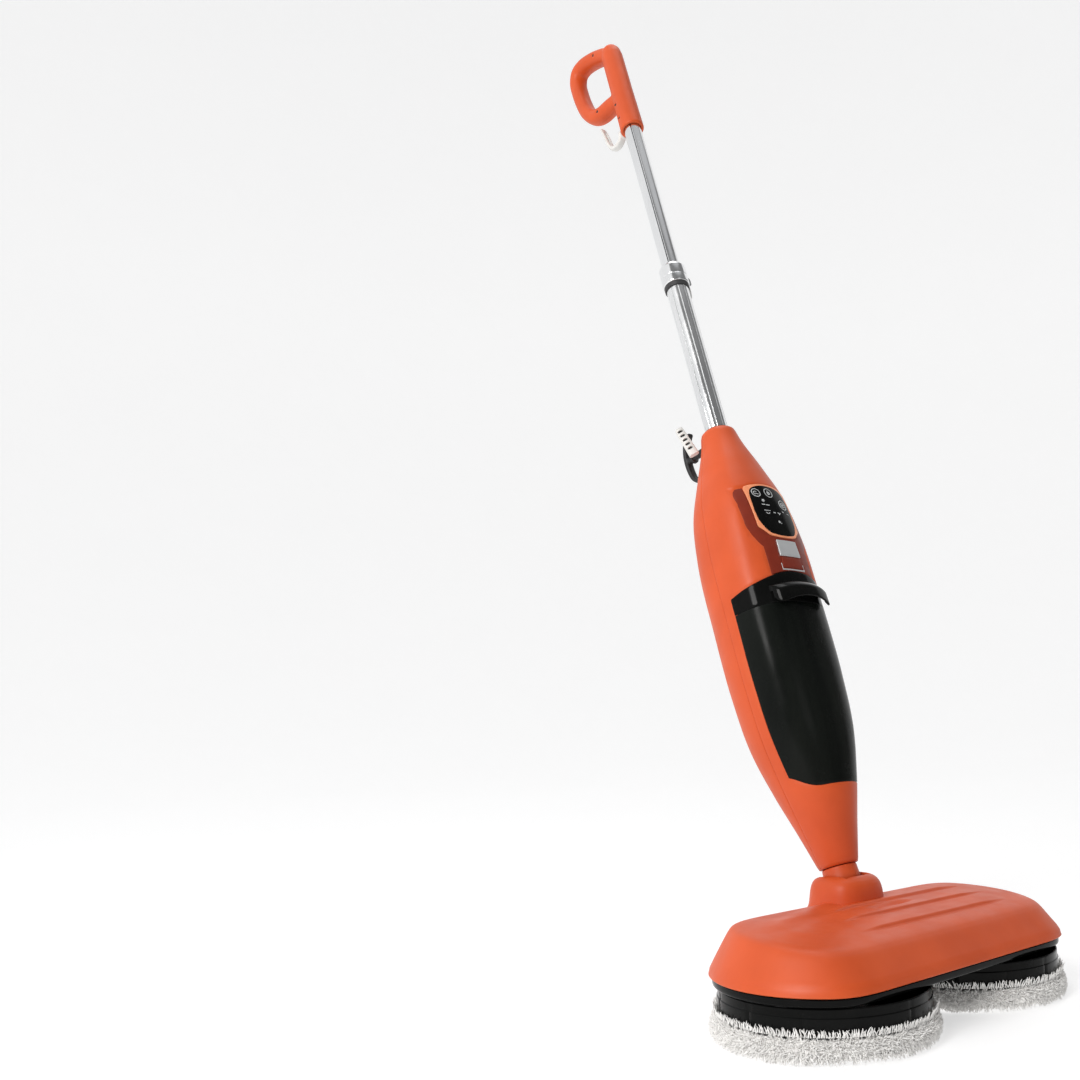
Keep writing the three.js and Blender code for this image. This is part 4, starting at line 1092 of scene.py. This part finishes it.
# the edge of the front or the rear shell, unrolled
def seamLoop(frontSide, spec=shell):
    heights = np.concatenate([np.linspace(spec["bottom"], spec["bottom"] + 2, 4),
                              np.arange(spec["bottom"] + 4, spec["top"] - 7, 3.0),
                              np.linspace(spec["top"] - 6, spec["top"], 9)])
    edge = aroundAtDepth(spec["seam"] + (-spec["gap"] / 2 if frontSide else spec["gap"] / 2), heights)
    whole = math.pi * spec["unroll"] * 2
    if frontSide:
        near = [(a, s) for a, s in zip(edge, heights)]
        return near + [(-a, s) for a, s in zip(edge[::-1], heights[::-1])]
    far = [(whole - a, s) for a, s in zip(edge, heights)]
    return far + [(a, s) for a, s in zip(edge[::-1], heights[::-1])]


def buildShells(spec=shell):
    opening = onBody(frontOpening(), tank["back"])
    points, faces = skinForm(seamLoop(True), [opening], bodySurface, 0.55, spec["wall"], 0, 3.4, 1.9)
    front = addPiece("frontShell", inWand(points), faces, "orange_shell", 42)
    fit(front, "body", "orange_shell", "front_shell")
    points, faces = skinForm(seamLoop(False), [], bodySurface, 0.55, spec["wall"], 0, 3.4, 1.9)
    rear = addPiece("rearShell", inWand(points), faces, "orange_shell", 42)
    fit(rear, "body", "orange_shell", "rear_shell")
    boss = turnedForm(easedProfile([(4.9, -3), (4.9, 0.4), (8, 0.4), (9.2, -3.4)], 0.7), 48)
    points, faces = stackRings(boss, (False, False))
    foot = float(bodySurface(math.pi * spec["unroll"], 540.0)[1])
    facing = np.stack([points[:, 0], foot + 0.4 + points[:, 2], 540 + points[:, 1]], 1)
    ring = addPiece("hookBoss", inWand(facing), [tuple(reversed(f)) for f in faces], "orange_shell")
    fit(ring, "body", "orange_shell", "rear_shell")


buildShells()
print("body shells made")


# a front-faced block: the body's own curve in front, rolled edges, flat at y = depth behind
def closedBack(name, outline, depth, lift, look, body, node, roll=0.6, spacing=3.2):
    loop = orient(densify(onBody(outline, depth + 0.2), 1.8), True)
    points, faces = skinForm(loop, [], bodySurface, roll, roll + 0.4, lift, spacing, 1.8)
    edge = densify(loop, 1.8)
    count = len(edge)
    front = bodySurface(edge[:, 0], edge[:, 1], lift - roll - 0.4)
    behind = np.column_stack([front[:, 0], np.full(count, depth), front[:, 2]])
    last = len(points) - count
    shift = len(points)
    faces = list(faces)
    for i in range(count):
        j = (i + 1) % count
        faces.append((shift + i, shift + j, last + j, last + i))
    flat, back = fillLoops([behind[:, [0, 2]]], np.zeros((0, 2)))
    faces.extend(tuple(shift + i for i in reversed(face)) for face in back)
    return fit(addPiece(name, inWand(np.concatenate([points, behind])), faces, look, 42), body, look, node)


def buildTank(spec=tank):
    gap = spec["gap"]
    line = spec["lidLine"]
    side = spec["side"]
    sides = tankSides(-gap, line - 0.08)
    closedBack("tankShell", sides, spec["back"] - 0.4, 0.0, "smoke_tank", "water_tank",
               "tank_shell", 0.7, 3.0)
    top = [p for p in tankTop(-gap, side, -side) if abs(p[0]) < side - 9]
    lid = [(-side, line + 0.08), (side, line + 0.08)]
    lid += [tuple(p) for p in curve(lid[-1], (side, 315), top[0], steps=8)] + top[1:]
    lid += [tuple(p) for p in curve(lid[-1], (-side, 315), lid[0], steps=8)][:-1]
    closedBack("tankLid", lid, spec["back"] - 0.4, 0.0, "gloss_black", "water_tank", "tank_lid", 0.35, 3.0)


# the thumb lip: a curved visor that stands off the lid
lip = {
    "half": 41, "top": 322.5, "rise": 4.2, "out": 12.6, "thick": 2.6,
    "hang": 20.5, "drop": 3.5,  # how far the front face hangs, and how much more at the ends
    "end": 6,
}


def buildLip(spec=lip):
    rings = []
    for turn in np.linspace(0, math.pi, 61):
        share = -np.cos(turn)
        x = share * spec["half"]
        front = float(bodySurface(aroundAtX(np.array(x), np.array(318.0)), 318.0)[1])
        # the ends round off: both the reach and the hang shrink over the last few millimetres
        left = max(0.0, 1 - (spec["half"] - abs(x)) / spec["end"])
        shape = math.sqrt(max(0.02, 1 - left ** 2))
        out = spec["out"] * (1 - 0.14 * share ** 2) * (0.45 + 0.55 * shape)
        hang = (spec["hang"] + spec["drop"] * share ** 2) * (0.55 + 0.45 * shape)
        thick = spec["thick"] * (0.5 + 0.5 * shape)
        ease = 0.6 + 0.4 * shape
        outside = [(2.5, 1), (-2, 0.6), (-out * 0.55, -1.2), (-out, -7.5 * ease), (-out - 0.6, -hang)]
        within = [(-out + thick - 0.4, -hang), (-out + thick, -10 * ease), (-out * 0.4, -6), (3, -5.2)]
        ring = easedProfile(outside + within + [outside[0]], 2.4, 5)[:-1]
        rings.append([(x, front + y, spec["top"] - spec["rise"] * share ** 2 + z) for y, z in ring])
    points, faces = stackRings(rings, (True, True))
    visor = addPiece("tankLip", inWand(points), faces, "gloss_black", 38)
    fit(visor, "water_tank", "gloss_black", "tank_lid")


buildTank()
buildLip()
print("tank and lip made")


# a thin moulded piece on the body's front; its outlines are drawn from the front
def patch(name, outline, holes, lift, depth, look, body, node, roll=0.35, spacing=2.4):
    loop = onBody(outline, -8.0, 1.2)
    gaps = [onBody(hole, -8.0, 1.2) for hole in holes]
    points, faces = skinForm(loop, gaps, bodySurface, roll, depth, lift, spacing, 1.2)
    return fit(addPiece(name, inWand(points), faces, look, 40), body, look, *node)


buttons = {
    "half": 16.4, "silver": (355, 375), "red": (340.5, 353.4), "corner": 0.9, "gap": 0.35,
    "taper": 1.2,
}


def buttonLoop(low, high, margin, spec=buttons):
    wide = spec["half"] + margin
    slim = spec["half"] - spec["taper"] + margin
    return roundCorners([(-wide, low - margin), (wide, low - margin), (slim, high + margin),
                         (-slim, high + margin)],
                        spec["corner"] + margin)


def buildPanel(spec=panel):
    gap = spec["gap"]
    right = trimEdge(-0.1)
    left = [(-x, y) for x, y in right]
    _, below = panelParts(spec["side"] + gap, spec["foot"] + gap, spec["head"], spec["trimTop"] - 0.1)
    ring = list(reversed(right))
    ring += list(reversed(below))
    ring += left
    ring += tankTop(tank["gap"] + 0.3, left[-1][0], right[-1][0])[1:-1]
    keyHoles = [buttonLoop(*buttons[name], buttons["gap"]) for name in ("silver", "red")]
    patch("panelTrim", ring, keyHoles, -0.35, 2.4, "maroon_trim", "body", ["panel_trim"], 0.4, 2.4)
    outer = panelLoop(spec["side"], spec["foot"], spec["head"])
    patch("panelFrame", outer, [panelLoop(0.25, 0.25, 0.1)], 0.55, 2.0, "peach_trim", "body",
          ["panel_frame"], 0.45,
          1.8)
    patch("panelLens", panelLoop(0, 0, 0), [], 0.25, 2.0, "gloss_black", "body", ["panel_lens"], 0.3, 2.4)
    patch("silverKey", buttonLoop(*buttons["silver"], 0), [], 0.9, 3.0, "silver_plastic", "silver_key",
          ["silver_button"], 0.7, 2.2)
    patch("redKey", buttonLoop(*buttons["red"], 0), [], 0.35, 2.6, "maroon_trim", "red_key",
          ["red_button"], 0.6, 2.2)
    # a bright edge line under the two keys, with a short riser at each side
    slim = buttons["half"] + 0.6
    rail = [(-slim - 0.7, 346), (-slim, 346), (-slim, 339.4), (slim, 339.4), (slim, 346), (slim + 0.7, 346),
            (slim + 0.7, 337.7), (-slim - 0.7, 337.7)]
    patch("keyRail", rail, [], -0.05, 1.4, "silver_plastic", "body", ["panel_trim"], 0.2, 1.4)


buildPanel()

icons = {
    "stroke": 0.95, "lift": 0.42, "sink": 0.1,
    "rings": ((0, 439, 6.0), (-19, 437.5, 5.4), (18, 425, 6.2)),
}


# a thin printed line on the lens
def strokeForm(path, wide, closed=False):
    path = np.asarray(path, float)
    ahead = np.roll(path, -1, axis=0) if closed else np.vstack([path[1:], path[-1:]])
    back = np.roll(path, 1, axis=0) if closed else np.vstack([path[:1], path[:-1]])
    heading = ahead - back
    heading /= np.linalg.norm(heading, axis=1)[:, None]
    normal = np.stack([-heading[:, 1], heading[:, 0]], 1) * wide / 2
    first = path + normal
    second = path - normal
    rings = []
    for a, b in zip(first, second):
        corners = np.array([a, b, b, a])
        around = aroundAtX(corners[:, 0], corners[:, 1])
        lifts = np.array([icons["lift"], icons["lift"], icons["sink"], icons["sink"]])
        rings.append(np.array([bodySurface(u, s, level)
                               for u, s, level in zip(around, corners[:, 1], lifts)]))
    return stackRings(rings, (not closed, not closed), closed)


def arcPath(x, y, radius, start=0, end=360, steps=26, squeeze=1.0):
    angles = np.radians(np.linspace(start, end, steps, endpoint=abs(end - start) < 359))
    return np.stack([x + radius * np.cos(angles), y + radius * squeeze * np.sin(angles)], 1)


def buildIcons(spec=icons):
    thin = spec["stroke"]
    strokes = [(arcPath(x, y, radius), thin, True) for x, y, radius in spec["rings"]]
    (cx, cy, _), (lx, ly, _), (rx, ry, _) = spec["rings"]
    strokes += [
        (arcPath(cx, cy - 0.4, 1.5, 0, 360, 14), 1.6, True),
        ([(cx - 1.4, cy + 2.4), (cx + 0.6, cy + 3.2)], 0.8, False),
        (arcPath(lx - 1.2, ly, 2.0, 20, 330, 14), 0.8, False),
        ([(lx + 0.6, ly - 1.6), (lx + 2.8, ly - 2.0)], 0.8, False),
        (arcPath(rx, ry, 3.2), 0.8, True),
        (arcPath(rx, ry, 1.1, 0, 360, 12), 0.8, True),
        (arcPath(-13.5, 427.0, 1.2, 0, 360, 12), 1.4, True),
        ([(-17.5, 421.6), (-6.5, 421.0)], 1.2, False),
        ([(11.5, 414.6), (23, 413.2)], 0.8, False),
        ([(-17, 413.6), (-8.2, 413.4)], 0.9, False),
        (arcPath(-12.8, 411.8, 2.6, 200, 340, 10), 0.9, False),
        ([(-4.2, 411.6), (-0.8, 411.4)], 1.3, False),
        ([(3.2, 412.6), (5.0, 409.6), (6.8, 412.4)], 1.1, False),
        (arcPath(0.4, 399.6, 0.9, 0, 360, 12), 1.3, True),
        ([(2.2, 398.2), (3.6, 397.6)], 0.9, False),
    ]
    form = joined(*[strokeForm(path, wide, closed) for path, wide, closed in strokes])
    mark = addPiece("panelMarks", inWand(form[0]), form[1], "print_grey", 60)
    fit(mark, "body", "gloss_black", "panel_lens")


buildIcons()
print("panel made")


# the two tubes: a fluted outer one and a grooved inner one
tubes = {
    "outerRadius": 14.3, "outer": (470, 776), "flutes": 10, "fluteDeep": 0.55, "fluteWide": 0.10, "turn": 13,
    "innerRadius": 11.8, "inner": (722, 1092), "grooveAt": 215, "grooveDeep": 0.8, "grooveWide": 0.055,
    "sides": 200, "wall": 1.3,
}


def tubeForm(radius, ends, dips, wall, sides=tubes["sides"]):
    angles = np.arange(sides) * 2 * math.pi / sides
    dip = np.zeros(sides)
    for centre, deep, wide in dips:
        off = (angles - centre + math.pi) % (2 * math.pi) - math.pi
        dip = dip + deep * np.exp(-(off / wide) ** 4)
    low, high = ends
    stack = [(radius - wall, high - 12, 0), (radius - wall, high - 0.5, 0), (radius - wall + 0.4, high, 0),
             (radius - 0.4, high, 0.4), (radius, high - 0.5, 1)]
    stack += [(radius, height, 1) for height in np.linspace(high - 1, low + 1, 14)]
    stack += [(radius - 0.4, low, 0.6), (radius - wall, low, 0)]
    rings = []
    for reach, height, share in reversed(stack):
        out = reach - dip * share
        rings.append(np.column_stack([out * np.cos(angles), out * np.sin(angles),
                                      np.full(sides, float(height))]))
    return stackRings(rings, (False, False))


def grooveShadeForm(radius, ends, centre, wide, lift):
    # painted shade: the dark strip that lies in the bottom of a groove, standing for its shadow
    low, high = ends
    rings = []
    for height in (low, high):
        ring = []
        for turn, level in ((-wide, lift), (wide, lift), (wide, lift - 0.5), (-wide, lift - 0.5)):
            reach = radius + level
            ring.append((reach * math.cos(centre + turn), reach * math.sin(centre + turn), height))
        rings.append(ring)
    return stackRings(rings)


def buildTubes(spec=tubes):
    step = 2 * math.pi / spec["flutes"]
    first = math.radians(spec["turn"])
    dips = [(first + step * i, spec["fluteDeep"], spec["fluteWide"] * 0.55) for i in range(spec["flutes"])]
    addFitted("lowerTube", tubeForm(spec["outerRadius"], spec["outer"], dips, spec["wall"]), inWand,
              "chrome_tube", "body", "chrome_tube", "lower_tube", 50)
    # grey strips in the bottoms of the flutes: painted shade in the grooves
    lines = [grooveShadeForm(spec["outerRadius"], (552, 771), centre, 0.022, -spec["fluteDeep"] + 0.12)
             for centre, _, _ in dips]
    form = joined(*lines)
    addFitted("fluteShadeLines", form, inWand, "print_grey", "body", "chrome_tube", "lower_tube")
    at = math.radians(spec["grooveAt"])
    points, faces = tubeForm(spec["innerRadius"], spec["inner"],
                             [(at, spec["grooveDeep"], spec["grooveWide"])],
                             spec["wall"])
    fit(addPiece("upperTube", inWand(points), faces, "chrome_tube", 50), "handle", "chrome_tube",
        "upper_tube")
    # a black strip in the upper tube's groove: painted shade
    line = grooveShadeForm(spec["innerRadius"], (724, 1090), at, 0.05, -spec["grooveDeep"] + 0.15)
    addFitted("grooveShadeLine", line, inWand, "gloss_black", "handle", "chrome_tube", "upper_tube")
    # a dark seal shows where the tube leaves the body
    seal = turnedForm(easedProfile([(14.0, 543.0), (15.3, 543.0), (15.5, 550.2), (14.35, 550.9)], 0.3, 3), 96)
    addFitted("bodySeal", stackRings(seal, (False, False)), inWand, "dark_plastic", "body", "dark_plastic",
              "tube_socket")


buildTubes()

clamp = {
    "profile": ((14.5, 766), (16.6, 766), (17.4, 767.4), (17.4, 777), (17.1, 777.5), (17.4, 778),
                (17.4, 791.8),
                (16.6, 793.4), (14.9, 796), (12.2, 796), (12.15, 790)),
    "round": 0.5,
    "lever": {"thick": 6, "path": ((21.2, 776.8), (21.1, 774), (21.0, 768), (20.6, 760), (20.1, 754.2)),
              "sizes": ((3, 1.0), (3, 1.6), (3, 2.2), (3, 1.9), (2.8, 1.2))},
}


def buildClamp(spec=clamp):
    ring = stackRings(turnedForm(easedProfile(spec["profile"], spec["round"], 4), 96), (False, False))
    # a dark ring just under the collar: painted shade for the gap between collar and tube
    gapShadeRing = stackRings(turnedForm([(14.35, 760.5), (15.9, 760.5), (16.1, 765.9), (14.4, 765.9)], 96),
                         (False, False))
    addFitted("clampCollar", ring, inWand, "chrome_tube", "body", "silver_plastic", "clamp_collar", 34)
    addFitted("clampGapShade", gapShadeRing, inWand, "dark_plastic", "body", "dark_plastic", "clamp_collar")
    lugs = []
    for side in (-1, 1):
        outline = [(15.6, 769.4), (21.4, 770.6), (22.4, 773), (22.4, 779), (21.2, 782.4), (15.6, 783.4)]
        low, high = sorted((side * 3.4, side * 6.8))
        corners = roundCorners(outline, 1.4, 4)
        rings = []
        for depth, inset in ((low, 0.4), (low + 0.4, 0), (high - 0.4, 0), (high, 0.4)):
            ring = insetLoop(orient(corners, True), inset) if inset else orient(corners, True)
            rings.append([(x, depth, s) for x, s in ring][::-1])
        lugs.append(stackRings(rings))
    form = joined(*lugs)
    addFitted("clampLugs", form, inWand, "chrome_tube", "body", "silver_plastic", "clamp_collar", 34)
    pin = rodForm((19.6, -7.1, 776), (19.6, 7.1, 776), 1.6, 24)
    addFitted("clampPin", pin, inWand, "steel", "body", "steel", "clamp_pin")
    tab = spec["lever"]
    path = splinePath([(x, 0, s) for x, s in tab["path"]], 18)
    stations = np.linspace(0, 1, len(tab["sizes"]))
    along = np.linspace(0, 1, 18)
    sizes = np.stack([np.interp(along, stations, [s[i] for s in tab["sizes"]]) for i in (0, 1)], 1)
    rings = sweepRings(path, sizes, 32, 3.4, (0, 1, 0))
    addFitted("clampLever", stackRings(rings), inWand, "white_plastic", "lever", "white_plastic",
              "clamp_lever")


buildClamp()
print("tubes and clamp made")

# the handle: a round barrel that runs into a closed loop, in two halves with a seam along the middle
handle = {
    "barrel": ((12.6, 1031.2), (15.6, 1031.0), (16.3, 1033.0), (15.9, 1055), (15.2, 1100), (15.0, 1150),
               (14.8, 1166), (13.4, 1175), (10.2, 1180.5), (5, 1183)),
    "loop": ((0, 1166), (8, 1176), (24, 1187.5), (40, 1196), (56, 1201.5), (69, 1200.5), (76.5, 1189),
             (77.5, 1170),
             (75.5, 1148), (70.5, 1126), (60, 1109), (46, 1100.5), (26, 1096.5), (8, 1091), (0, 1084)),
    "wide": 12.6, "deep": 10.4,
    "bore": 12.1, "boreTop": 1092,
    "screws": ((24, 1187.5, 11.2, 3.0), (44, 1100, 11.2, 3.0), (5, 1076, 13.2, 2.7), (5, 1052, 13.2, 2.7)),
    "voxel": 1.0, "rounds": 6, "seam": 0.3,
}


def buildHandle(spec=handle):
    barrel = stackRings(turnedForm(spec["barrel"], 72))
    path = splinePath([(0, y, s) for y, s in spec["loop"]], 90)
    rings = sweepRings(path, [(spec["wide"], spec["deep"])] * 90, 48, 2.35)
    loop = stackRings(rings)
    bore = stackRings(turnedForm([(spec["bore"], 1020), (spec["bore"], spec["boreTop"])], 64))
    for side, name, node in ((-1, "handleLeft", "handle_left"), (1, "handleRight", "handle_right")):
        holes = [rodForm((side * seat, y, s), (side * 30, y, s), reach, 28)
                 for y, s, seat, reach in spec["screws"]]
        near = spec["seam"] / 2 * side
        slab = boxForm((min(near, side * 60), -60, 1000), (max(near, side * 60), 140, 1260))
        half = mouldedPiece(name, [barrel, loop], [bore] + holes, inWand, "orange_shell", spec["voxel"],
                            spec["rounds"], slab)
        fit(half, "handle", "orange_shell", node)
        heads = [rodForm((side * (seat - 0.6), y, s), (side * (seat + 0.4), y, s), 2.8, 24)
                 for y, s, seat, _ in spec["screws"]]
        form = joined(*heads)
        addFitted(name + "Screws", form, inWand, "seam_shadow", "handle", "orange_shell", node)
    # a near-black core inside the two halves: painted shade that shows through the seam and the bore
    core = turnedForm([(12.0, 1033), (13.6, 1033), (13.6, 1160), (9, 1172), (0.5, 1174)], 48)
    addFitted("handleSeamShade", stackRings(core, (False, True)), inWand, "seam_shadow", "handle",
              "orange_shell", "handle_left")


buildHandle()
print("handle made")

hooks = {
    "upper": {"path": ((20.2, 1038), (26, 1033.5), (34, 1031.6), (42, 1035), (46.5, 1044), (49, 1058),
                       (51.2, 1070),
                       (53.4, 1080.5)),
              "wide": (5.2, 5.2, 5.4, 5.6, 5.6, 5.4, 5.2, 4.6),
              "thick": (3.0, 2.9, 2.9, 2.9, 2.7, 2.5, 2.4, 1.7)},
    "lower": {"path": ((42.5, 572.5), (48, 568.5), (53.5, 562), (57.3, 551), (58.6, 539), (57.6, 526),
                       (54.4, 514.5),
                       (49.5, 509), (43.8, 506.6)),
              "wide": (4.2, 5.0, 5.4, 5.6, 5.6, 5.6, 5.4, 5.0, 4.2),
              "thick": (2.0, 2.7, 3.0, 3.2, 3.3, 3.2, 3.0, 2.7, 2.0)},
}


def armForm(spec, steps=60, squareness=3.2):
    path = splinePath([(0, y, s) for y, s in spec["path"]], steps)
    at = np.linspace(0, 1, steps)
    marks = np.linspace(0, 1, len(spec["wide"]))
    ease = np.sqrt(np.clip(np.minimum(at, 1 - at) / 0.03, 0.02, 1))
    sizes = np.stack([np.interp(at, marks, spec["wide"]) * (0.6 + 0.4 * ease),
                      np.interp(at, marks, spec["thick"]) * ease], 1)
    return stackRings(sweepRings(path, sizes, 40, squareness))


def buildHooks(spec=hooks):
    solids = [armForm(spec["upper"]), rodForm((0, 17.4, 1040), (0, 22.5, 1040), 6.2, 40)]
    slot = boxForm((-2.1, 36, 1048), (2.1, 60, 1071))
    piece = mouldedPiece("upperHook", solids, [slot], inWand, "white_plastic", 0.45, 5)
    fit(piece, "upper_hook", "white_plastic", "upper_cord_hook")
    solids = [armForm(spec["lower"]), rodForm((0, 23.8, 540), (0, 57, 540), 4.4, 40),
              rodForm((0, 46, 540), (0, 50, 540), 6.4, 40)]
    piece = mouldedPiece("lowerHook", solids, [], inWand, "dark_plastic", 0.5, 5)
    fit(piece, "lower_hook", "dark_plastic", "lower_cord_hook")


buildHooks()

boot = {
    "origin": (-22.4, 25.1, 528), "heading": (-9.5, 10.8, 53), "turn": -50,
    "length": 42, "widths": (6.4, 6.2, 5.9, 5.8, 5.6, 5.4, 4.8), "flat": 3.8,
    "slots": 5, "first": 8, "pitch": 6.4, "slotHigh": 3.2, "slotWide": 3.4, "core": 2.0,
}


def buildBoot(spec=boot):
    heading = Vector(spec["heading"]).normalized()
    turn = Vector((0, 0, 1)).rotation_difference(heading).to_matrix().to_4x4()
    turn = Matrix.Translation(spec["origin"]) @ turn @ Matrix.Rotation(math.radians(spec["turn"]), 4, "Z")
    steps = 30
    at = np.linspace(0, 1, steps)
    wide = np.interp(at, np.linspace(0, 1, len(spec["widths"])), spec["widths"])
    ease = np.sqrt(np.clip(np.minimum(at + 0.04, 1 - at) / 0.04, 0.04, 1))
    path = [(0, 0, spec["length"] * t) for t in at]
    sizes = np.stack([wide * (0.75 + 0.25 * ease), spec["flat"] * ease], 1)
    strap = stackRings(sweepRings(path, sizes, 48, 2.9))
    cuts = []
    for index in range(spec["slots"]):
        low = spec["first"] + index * spec["pitch"]
        middle = low + spec["slotHigh"] / 2
        rings = sweepRings([(0, -9, middle), (0, 9, middle)],
                           [(spec["slotWide"], spec["slotHigh"] / 2)] * 2, 32, 2.4)
        cuts.append(stackRings(rings))
    body = mouldedPiece("cordBoot", [turnForm(strap, turn)], [turnForm(cut, turn) for cut in cuts], inWand,
                        "white_plastic", 0.45, 4)
    fit(body, "body", "white_plastic", "cord_boot")
    # a near-black rod and block inside the strap: painted shade seen through the slots
    core = turnForm(rodForm((0, 0, 5), (0, 0, spec["length"] - 1.5), spec["core"], 24), turn)
    shade = turnForm(boxForm((-3.4, -1.5, 7), (3.4, 1.5, spec["length"] - 4)), turn)
    form = joined(core, shade)
    addFitted("bootSlotShade", form, inWand, "seam_shadow", "body", "white_plastic", "cord_boot")


buildBoot()
print("hooks and cord boot made")

# the neck: a cone and a cross barrel in two halves
neckLink = {
    "profile": ((14.2, -6), (16.2, -1.5), (18.2, 3.6), (19.3, 8.4), (19.2, 11), (18.6, 17), (18.5, 20.8),
                (17.9, 21.6)),
    "barrel": 11, "half": 19, "pin": 4.3, "gap": 0.3,
}


def buildNeck(spec=neckLink):
    cone = stackRings(turnedForm(easedProfile(spec["profile"], 1.2, 3), 72))
    across = rodForm((-spec["half"], 0, 0), (spec["half"], 0, 0), spec["barrel"], 64)
    pinHole = rodForm((-40, 0, 0), (40, 0, 0), spec["pin"], 40)
    for side, name, node in ((-1, "neckLeft", "neck_link_left"), (1, "neckRight", "neck_link_right")):
        near = spec["gap"] / 2 * side
        slab = boxForm((min(near, side * 40), -40, -40), (max(near, side * 40), 40, 60))
        half = mouldedPiece(name, [cone, across], [pinHole], inWand, "orange_shell", 0.8, 4, slab)
        fit(half, "neck", "orange_shell", node)
    # a near-black core inside the two halves: painted shade that shows through the seam
    core = stackRings(turnedForm([(5, -3), (14.6, 2), (16.4, 7), (16.6, 20)], 48))
    addFitted("neckSeamShade", core, inWand, "seam_shadow", "neck", "orange_shell", "neck_link_left")


buildNeck()
print("neck made")


# the floor runs into a tall pale wall far behind; the side in front of the mop is dimmer
def buildStage(spec=studio):
    profile = [(0.05, 0), (0.6, 0), (1.4, 0), (2.4, 0), (spec["floorRadius"], 0)]
    bend = spec["wallRadius"] - spec["floorRadius"]
    for step in range(1, 13):
        turn = step / 12 * math.pi / 2
        profile.append((spec["floorRadius"] + bend * math.sin(turn), bend * (1 - math.cos(turn))))
    profile.append((spec["wallRadius"], spec["wallHeight"]))
    angles = np.arange(96) * 2 * math.pi / 96
    rings = [[(r * math.cos(a), r * math.sin(a), h) for a in angles] for r, h in profile]
    points, faces = stackRings(rings, (True, False))
    floor = addPiece("studioFloor", points, faces, "paper", 80)
    floor.data.materials.append(paint["paperDim"])
    for face in floor.data.polygons:
        face.material_index = int(face.center.y < spec["dimSide"])
    return floor


buildStage()
